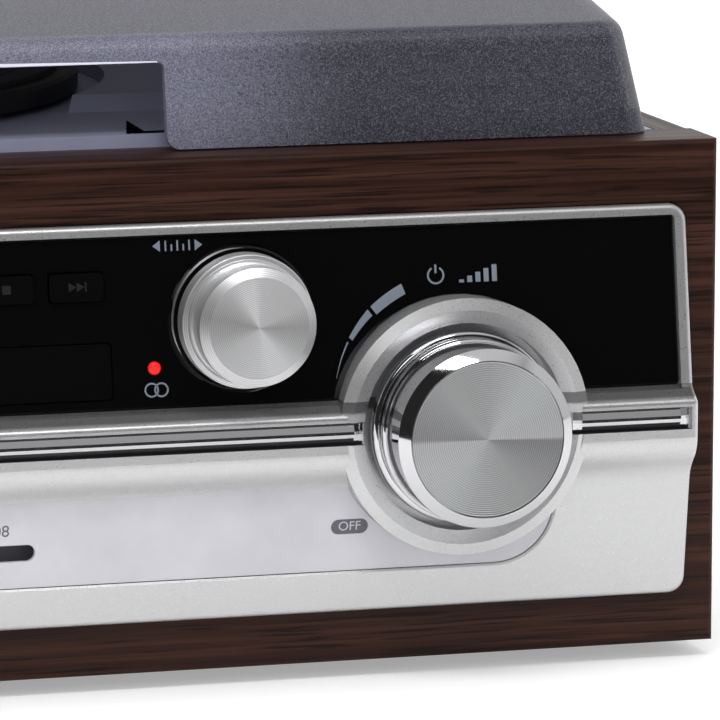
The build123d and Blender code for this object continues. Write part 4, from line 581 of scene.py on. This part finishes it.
def ring(radius, width, centre=(0.0, 0.0), steps=48):
    """Inner and outer row of a closed ring."""
    return (arc(radius - width, 0, 360, steps, centre)[:-1], arc(radius, 0, 360, steps, centre)[:-1])


def capsule(length, height, steps=12):
    end = length / 2 - height / 2
    return arc(height / 2, -90, 90, steps, (end, 0)) + arc(height / 2, 90, 270, steps, (-end, 0))


def rectangle(left, right, low, high):
    return [(left, low), (right, low), (right, high), (left, high)]


def add_text(mesh, matrix, text, size, thickness=ink):
    """Add characters, centred on the place."""
    curve = bpy.data.curves.new("characters", "FONT")
    curve.body = text
    curve.size = size
    curve.extrude = thickness / 2
    curve.align_x = "CENTER"
    curve.align_y = "CENTER"
    carrier = bpy.data.objects.new("characters", curve)
    data = bpy.data.meshes.new_from_object(carrier)
    data.transform(matrix @ Matrix.Translation((0, 0, thickness / 2)))
    mesh.from_mesh(data)
    bpy.data.objects.remove(carrier)
    bpy.data.curves.remove(curve)
    bpy.data.meshes.remove(data)


# ------------------------------------------------------------------ printed marks
def make_scale_print():
    """Plain numbers along the scale and the pill at the volume knob's resting place."""
    numbers = bmesh.new()
    for index, number in enumerate(range(88, 109, 2)):
        place = plate.matrix(first_number + number_spacing * index, number_height)
        add_text(numbers, place, str(number), number_size)
    piece("scale_numbers", numbers, "scale_white", "cabinet", plate_ink, 10)

    pill = bmesh.new()
    add_outline(pill, plate.matrix(*pill_place), capsule(8.9, 3.6))
    piece("off_pill", pill, "scale_white", "cabinet", plate_ink, 10)
    letters = bmesh.new()
    add_text(letters, Face(plate_low, plate_high, ink).matrix(*letters_place), "OFF", 3.1)
    piece("off_letters", letters, "scale_white", "cabinet", pill_ink, 10)


def add_wedges(mesh):
    """Growing band at the upper left of the volume knob, in three lengths."""
    around = glass.matrix(*volume_axis)
    for start, end, inner, low, high in wedges:
        add_band(mesh, around, swept(start, end, inner, wedge_foot), swept(start, end, low, high))


def add_power_mark(mesh):
    place = glass.matrix(volume_axis[0] - 4.6, mark_height)
    add_band(mesh, place, arc(1.65, 120, 420, 40), arc(2.1, 120, 420, 40))
    add_outline(mesh, place, rectangle(-0.25, 0.25, 0.5, 2.5))


def add_level_mark(mesh):
    """Five bars of growing height."""
    place = glass.matrix(volume_axis[0] + 1.0, mark_height)
    for step in range(5):
        add_outline(mesh, place, rectangle(step * 2.0, step * 2.0 + 1.2, -1.9, -1.2 + step * 0.8))


def add_tuning_mark(mesh):
    """Short scale between two arrows."""
    place = glass.matrix(tuning_axis[0] - 14.5, 100.1)
    for side in (-1, 1):
        add_outline(mesh, place, [(side * 5.9, 0.0), (side * 4.1, 1.3), (side * 4.1, -1.3)])
    for step in range(-2, 3):
        top = 0.3 if step % 2 else 1.2
        add_outline(mesh, place, rectangle(step * 1.4 - 0.2, step * 1.4 + 0.2, -1.2, top))


def add_lamp_mark(mesh):
    """Two circles that overlap."""
    place = glass.matrix(axis_of("stereo_lamp")[0] + 0.3, 67.7)
    for side in (-1, 1):
        add_band(mesh, place, *ring(1.7, 0.4, (side * 1.15, 0)), closed=True)


def add_left_marks(mesh):
    """Three ticks round the function knob and two arcs round the tone knob."""
    around = glass.matrix(*function_axis)
    for angle in (45, 90, 135):
        low, high = angle - 0.8, angle + 0.8
        add_outline(mesh, around, [*arc(32.3, low, high, 1), *arc(35.3, high, low, 1)])
    around = glass.matrix(*tone_axis)
    for start, end in ((222, 200), (-42, -20)):
        add_band(mesh, around, arc(18.9, start, end, 12), arc(19.9, start, end, 12))


def make_glass_print():
    marks = bmesh.new()
    for add_mark in (add_wedges, add_power_mark, add_level_mark, add_tuning_mark, add_lamp_mark,
                     add_left_marks):
        add_mark(marks)
    piece("glass_marks", marks, "black_glass", "cabinet", glass_ink, 10)


DIGIT_BARS = {"0": "abcdef", "2": "abged", "4": "fgbc", "5": "afgcd", "7": "abc"}


def add_digit(mesh, matrix, digit, left, width=2.9, height=6.0, stroke=0.62):
    """Seven-bar digit."""
    low, middle, high = -height / 2, 0.0, height / 2
    right = left + width
    ends = {"a": (left, high, right, high), "b": (right, high, right, middle),
            "c": (right, middle, right, low), "d": (left, low, right, low), "e": (left, middle, left, low),
            "f": (left, high, left, middle), "g": (left, middle, right, middle)}
    for bar in DIGIT_BARS[digit]:
        x0, y0, x1, y1 = ends[bar]
        start, end = Vector((x0, y0)), Vector((x1, y1))
        run = (end - start).normalized()
        side = Vector((-run.y, run.x)) * stroke / 2
        tip = run * stroke / 2
        start, end = start + run * 0.12, end - run * 0.12
        points = [start, start + tip + side, end - tip + side, end, end - tip - side, start + tip - side]
        add_outline(mesh, matrix, [(point.x, point.y) for point in points])


def make_display():
    low, high = span("display_window")
    matrix = Face(glass_low, glass_high, -0.25).matrix((low.x + high.x) / 2, (low.z + high.z) / 2)
    digits = bmesh.new()
    for digit, left in zip("050247", (-19.0, -14.6, -2.0, 2.4, 9.4, 13.8)):
        add_digit(digits, matrix, digit, left)
    for height in (-1.2, 1.2):
        add_outline(digits, matrix, rectangle(6.9, 7.6, height - 0.35, height + 0.35))
    piece("display_digits", digits, "display_glass", "cabinet", digit_light, 10)


def make_button_symbols():
    triangle = [(-0.9, -1.1), (-0.9, 1.1), (0.9, 0.0)]

    def moved(points, shift):
        return [(x + shift, y) for x, y in points]

    symbols = {
        "open_button": [[(-1.5, -0.2), (1.5, -0.2), (0.0, 1.4)], rectangle(-1.5, 1.5, -1.2, -0.7)],
        "play_button": [moved(triangle, -0.9), rectangle(0.6, 1.0, -1.1, 1.1),
                        rectangle(1.5, 1.9, -1.1, 1.1)],
        "stop_button": [rectangle(-1.0, 1.0, -1.0, 1.0)],
        "skip_button": [moved(triangle, -1.0), moved(triangle, 0.9), rectangle(1.9, 2.3, -1.1, 1.1)],
    }
    for name, outlines in symbols.items():
        low, high = span(name)
        matrix = button_face.matrix((low.x + high.x) / 2, (low.z + high.z) / 2)
        mesh = bmesh.new()
        for outline in outlines:
            add_outline(mesh, matrix, outline)
        piece(name.replace("button", "symbol"), mesh, "satin_chrome", name, symbol_ink, 10)


# ------------------------------------------------------------------ knobs
def grooves(radius, face, pitch, depth):
    """(radius, height) points of fine rings, from a face's edge to its middle."""
    points = []
    count = int(radius / pitch)
    for index in range(count):
        edge = radius - index * pitch
        points += [(edge, face), (edge - pitch / 2, face - depth)]
    return points + [(0.0, face)]


def make_large_knobs():
    """Volume and function knob: skirt, neck, body and bevel, with a turned disc in the face.

    An outline's points are (radius, how far it stands in front of the wood, corner radius).
    """
    for name, axis in (("volume", volume_axis), ("function", function_axis)):
        body = softened([
            (0, -5, 0), (3.0, -5, 0), (3.0, 10.0, 0), (22.5, 10.0, 1.2), (22.5, 13.5, 1.3), (19.6, 13.5, 0.4),
            (19.6, 15.0, 0.4), (21.4, 15.0, 0.9), (21.4, 17.2, 0.9), (20.7, 17.6, 0.2), (20.8, 28.0, 0.15),
            (18.2, 30.0, 0.08), (18.2, 29.2, 0.0), (0, 29.2, 0)])
        made = piece(f"{name}_knob_body", front_turned(body, axis), "bright_chrome", name)
        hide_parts(f"{name}_knob")
        disc = [(0, 29.21), (18.05, 29.21), (18.05, 29.93)] + grooves(18.0, 30.0, face_pitch, 0.045)
        made = piece(f"{name}_knob_disc", front_turned(disc, axis), "turned_aluminium", name,
                     face_metal[name], 4)
        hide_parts(f"{name}_knob_face")


def make_small_knobs():
    """Tuning and tone knob: flange, neck and ringed cap, and the dark inside of the cup round each."""
    for name, axis in (("tuning", tuning_axis), ("tone", tone_axis)):
        body = softened([
            (0, -12, 0), (3.0, -12, 0), (3.0, 5.7, 0), (15.6, 5.7, 0.4), (15.6, 10.4, 0.5), (14.4, 10.6, 0.3),
            (14.0, 11.4, 0.5), (12.6, 12.2, 0.3), (12.6, 13.2, 0.0), (13.75, 13.2, 0.3), (13.75, 19.0, 0.12),
            (11.65, 20.27, 0.1), (11.6, 20.27, 0.0)])
        body += grooves(11.6, 20.3, cap_pitch, 0.02)
        made = piece(f"{name}_knob_body", front_turned(body, axis), "satin_chrome", name,
                     cap_metal[name], 4.5)
        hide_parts(f"{name}_knob")
        cup = [(16.28, 4.5), (16.28, -0.58), (3.5, -0.58), (3.5, -0.5), (16.2, -0.5), (16.2, 4.5),
               (16.28, 4.5)]
        piece(f"{name}_cup_lining", front_turned(cup, axis), "black_plastic", "cabinet")


# ------------------------------------------------------------------ trim
def add_loft(mesh, *rows):
    """Add a solid through (x, section) rows; a section is a closed row of (y, z) points."""
    rings = [[mesh.verts.new(at(x, y, z)) for y, z in section] for x, section in rows]
    for first, second in zip(rings, rings[1:]):
        for index in range(len(first)):
            after = (index + 1) % len(first)
            mesh.faces.new((first[index], first[after], second[after], second[index]))
    mesh.faces.new(rings[0])
    mesh.faces.new(rings[-1][::-1])


def make_bars():
    """Faceted chrome bars with hipped ends, in channels whose upper and lower walls carry dark sheets of
    painted shade.
    """
    flat_low, flat_high = bar_flat
    section = [(channel_floor, bar_bottom), (channel_floor, bar_top), (bar_edge, bar_top),
               (bar_front, flat_high), (bar_front, flat_low), (bar_edge, bar_bottom)]
    end_section = [(max(y, bar_edge), z) for y, z in section]
    low, high = span("chrome_bars")
    outer, middle = volume_axis[0] + outer_bar_reach, volume_axis[0] - middle_bar_reach
    ends = ((low.x, -outer), (-middle, middle), (outer, high.x))
    bars = bmesh.new()
    for left, right in ends:
        add_loft(bars, (left, end_section), (left + bar_hip, section), (right - bar_hip, section),
                 (right, end_section))
    made = piece("hipped_bars", bars, "bright_chrome", "cabinet", None, 12)
    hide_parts("chrome_bars")

    # painted shade: thin dark sheets along the channels' walls, standing in for the shadow in them
    shade_sheet = bmesh.new()
    for left, right in ends:
        for wall, inward, end in ((channel_bottom, 1, bar_bottom), (channel_top, -1, bar_top)):
            strip = lining_section(wall, inward, end - inward * 0.05)
            add_loft(shade_sheet, (left, strip), (right, strip))
    piece("channel_shade_sheet", shade_sheet, "black_plastic", "cabinet", None, 20)


def lining_section(wall, inward, end):
    """(y, z) outline of a thin dark angle along a channel's wall and floor, a sheet of painted shade; end is
    its edge on the floor.
    """
    near, far = wall + inward * 0.02, wall + inward * 0.06
    deep, shallow, lip = channel_floor - 0.02, channel_floor - 0.06, channel_floor - 1.5
    return [(lip, near), (deep, near), (deep, end), (shallow, end), (shallow, far), (lip, far)]


def make_cutout_lip():
    """Painted highlight: a bright strip along the top of the cover's cut-out, narrower towards the right."""
    wall = Face(cover_foot, cutout_top)
    outline = [(highlight_left, 0.0), (highlight_right, 0.0), (highlight_right, 0.3), (40.0, 0.85), (highlight_left, 0.85)]
    lip = bmesh.new()
    add_outline(lip, wall.matrix(0, cutout_top[1] + 0.1), outline)
    piece("cutout_highlight", lip, "smoked_acrylic", "cover", painted_lip_highlight, 10)


# ------------------------------------------------------------------ deck
def make_recess_lining():
    """Painted shade: a thin dark sheet over the finger recess in the shelf, standing in for the shadow in it.
    """
    middle = Vector(recess_middle)
    mesh = bmesh.new()
    rows = []
    for inset, height in ((0.03, recess_rim), (0.03, recess_floor), (0.1, recess_floor + 0.05),
                          (0.1, recess_rim)):
        inner = [Vector(point) + (middle - Vector(point)).normalized() * inset for point in recess_outline]
        rows.append([mesh.verts.new(at(point.x, point.y, height)) for point in inner])
    count = len(recess_outline)
    for index in range(count):
        after = (index + 1) % count
        for first, second in ((rows[0], rows[1]), (rows[2], rows[3]), (rows[3], rows[0])):
            mesh.faces.new((first[index], first[after], second[after], second[index]))
    mesh.faces.new(rows[1])
    mesh.faces.new(rows[2][::-1])
    piece("recess_shade_sheet", mesh, "black_plastic", "cabinet", None, 20)


def make_mat():
    """Rubber mat: a smooth edge band, a groove, fine ribs and a smooth middle."""
    low, high = span("platter_mat")
    axis = ((low.x + high.x) / 2, (low.y + high.y) / 2)
    edge = (high.x - low.x) / 2
    top = high.z
    points = [(3.8, low.z, 0), (edge, low.z, 0), (edge, top, 0.4), (edge - 6.0, top, 0.4),
              (edge - 6.4, top - 0.7, 0.2), (edge - 8.0, top - 0.7, 0.2), (edge - 8.4, top - 0.1, 0.2)]
    profile = softened(points, 3)
    radius = edge - 9.0
    while radius > 52.0:
        profile += [(radius, top - 0.1), (radius - 0.5, top - 0.1), (radius - 0.8, top - 0.6),
                    (radius - 1.3, top - 0.6), (radius - 1.6, top - 0.1)]
        radius -= 1.9
    profile += [(50.0, top - 0.1), (49.4, top - 0.7), (3.8, top - 0.7), (3.8, low.z)]
    made = piece("ribbed_mat", deck_turned(profile, axis, 160), "mat_rubber", "turntable")
    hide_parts("platter_mat")


# ------------------------------------------------------------------ stage, light and camera
def make_floor():
    mesh = bmesh.new()
    bmesh.ops.create_grid(mesh, x_segments=1, y_segments=1, size=8.0)
    data = bpy.data.meshes.new("floor")
    mesh.to_mesh(data)
    mesh.free()
    surface = Surface("floor", (0.86, 0.86, 0.86, 1.0), 0.7, Specular_IOR_Level=0.1)
    path = surface.add("LightPath")
    seen = surface.add("Emission", {"Color": (1.0, 1.0, 1.0, 1.0), "Strength": surface.math(
        "MULTIPLY", path.outputs["Is Camera Ray"], 0.35)})
    total = surface.add("AddShader", {0: surface.shader.outputs[0], 1: seen.outputs[0]})
    place = surface.add("SeparateXYZ", {0: surface.place})
    ahead = surface.math("LESS_THAN", place.outputs["Y"], floor_front)
    beside = surface.math("LESS_THAN", place.outputs["X"], floor_left)
    unlit = surface.math("MULTIPLY", surface.math("MAXIMUM", ahead, beside), path.outputs["Is Glossy Ray"])
    dark = surface.add("Emission", {"Color": (1.0, 1.0, 1.0, 1.0), "Strength": front_dark})
    shown = surface.add("MixShader", {0: unlit, 1: total.outputs[0], 2: dark.outputs[0]})
    output = next(node for node in surface.tree.nodes if node.type == "OUTPUT_MATERIAL")
    surface.tree.links.new(shown.outputs[0], output.inputs["Surface"])
    data.materials.append(surface.material)
    floor = bpy.data.objects.new("floor", data)
    scene.collection.objects.link(floor)


def make_world():
    """White where it is seen directly and plain light elsewhere.

    Polished faces see it white behind, grey at the right and high in front, and dark at the left and
    overhead.
    """
    world = bpy.data.worlds.new("studio")
    scene.world = world
    world.use_nodes = True
    tree = world.node_tree
    tree.nodes.clear()

    def add(kind, inputs=(), **settings):
        node = tree.nodes.new("ShaderNode" + kind)
        for name, value in settings.items():
            setattr(node, name, value)
        for key, value in dict(inputs).items():
            if isinstance(value, bpy.types.NodeSocket):
                tree.links.new(value, node.inputs[key])
            else:
                node.inputs[key].default_value = value
        return node

    def combine(operation, first, second):
        return add("Math", {0: first, 1: second}, operation=operation).outputs[0]

    def fade(axis, start, end, before, after):
        """Level that changes smoothly between two values of a direction's part."""
        inputs = {"Value": direction.outputs[axis], "From Min": start, "From Max": end,
                  "To Min": before, "To Max": after}
        return add("MapRange", inputs, interpolation_type="SMOOTHSTEP").outputs[0]

    path = add("LightPath")
    direction = add("SeparateXYZ", {0: add("TexCoord").outputs["Generated"]})
    behind = combine("MULTIPLY", fade("Y", -0.2, 0.4, front_dark, 1.0), fade("Z", 0.6, 0.85, 1.0, 0.0))
    right = fade("X", 0.5, 0.85, 0.0, right_grey)
    ahead = combine("MULTIPLY", fade("X", -0.35, 0.1, 0.0, 1.0), fade("Y", -0.15, 0.1, 1.0, 0.0))
    high = combine("MULTIPLY", fade("Z", 0.35, 0.85, 0.0, high_grey), ahead)
    mirrored = combine("MAXIMUM", behind, combine("MAXIMUM", right, high))
    polished = combine("MAXIMUM", path.outputs["Is Glossy Ray"], path.outputs["Is Transmission Ray"])
    plain = add("Mix", {0: polished, 2: ambient_strength, 3: mirrored})
    strength = add("Mix", {0: path.outputs["Is Camera Ray"], 2: plain.outputs[0], 3: 1.0})
    background = add("Background", {"Color": (1.0, 1.0, 1.0, 1.0), "Strength": strength.outputs[0]})
    output = add("OutputWorld")
    tree.links.new(background.outputs[0], output.inputs["Surface"])


def make_lamps():
    for name, (place, aim, width, height, power) in lamps.items():
        lamp = bpy.data.lights.new(name, "AREA")
        lamp.shape = "RECTANGLE"
        lamp.size = width
        lamp.size_y = height
        lamp.energy = power
        made = bpy.data.objects.new(name, lamp)
        scene.collection.objects.link(made)
        made.location = place
        made.visible_glossy = name not in unmirrored_lamps
        made.rotation_mode = "QUATERNION"
        made.rotation_quaternion = (Vector(aim) - Vector(place)).to_track_quat("-Z", "Y")


def make_camera():
    data = bpy.data.cameras.new("camera")
    data.sensor_width = 36.0
    data.lens = camera_lens
    data.clip_start = 0.05
    data.clip_end = 50.0
    camera = bpy.data.objects.new("camera", data)
    scene.collection.objects.link(camera)
    aimed = Euler((radians(90 - camera_elevation), 0, radians(-camera_azimuth))).to_matrix()
    rolled = aimed @ Matrix.Rotation(radians(camera_roll), 3, "Z")
    camera.matrix_world = Matrix.Translation(at(*camera_place)) @ rolled.to_4x4()
    scene.camera = camera


make_camera()
make_world()
make_lamps()
make_floor()
dress_cad()
make_scale_print()
make_glass_print()
make_display()
make_button_symbols()
make_large_knobs()
make_small_knobs()
make_bars()
make_cutout_lip()
make_recess_lining()
make_mat()
scene.view_settings.view_transform = "Standard"
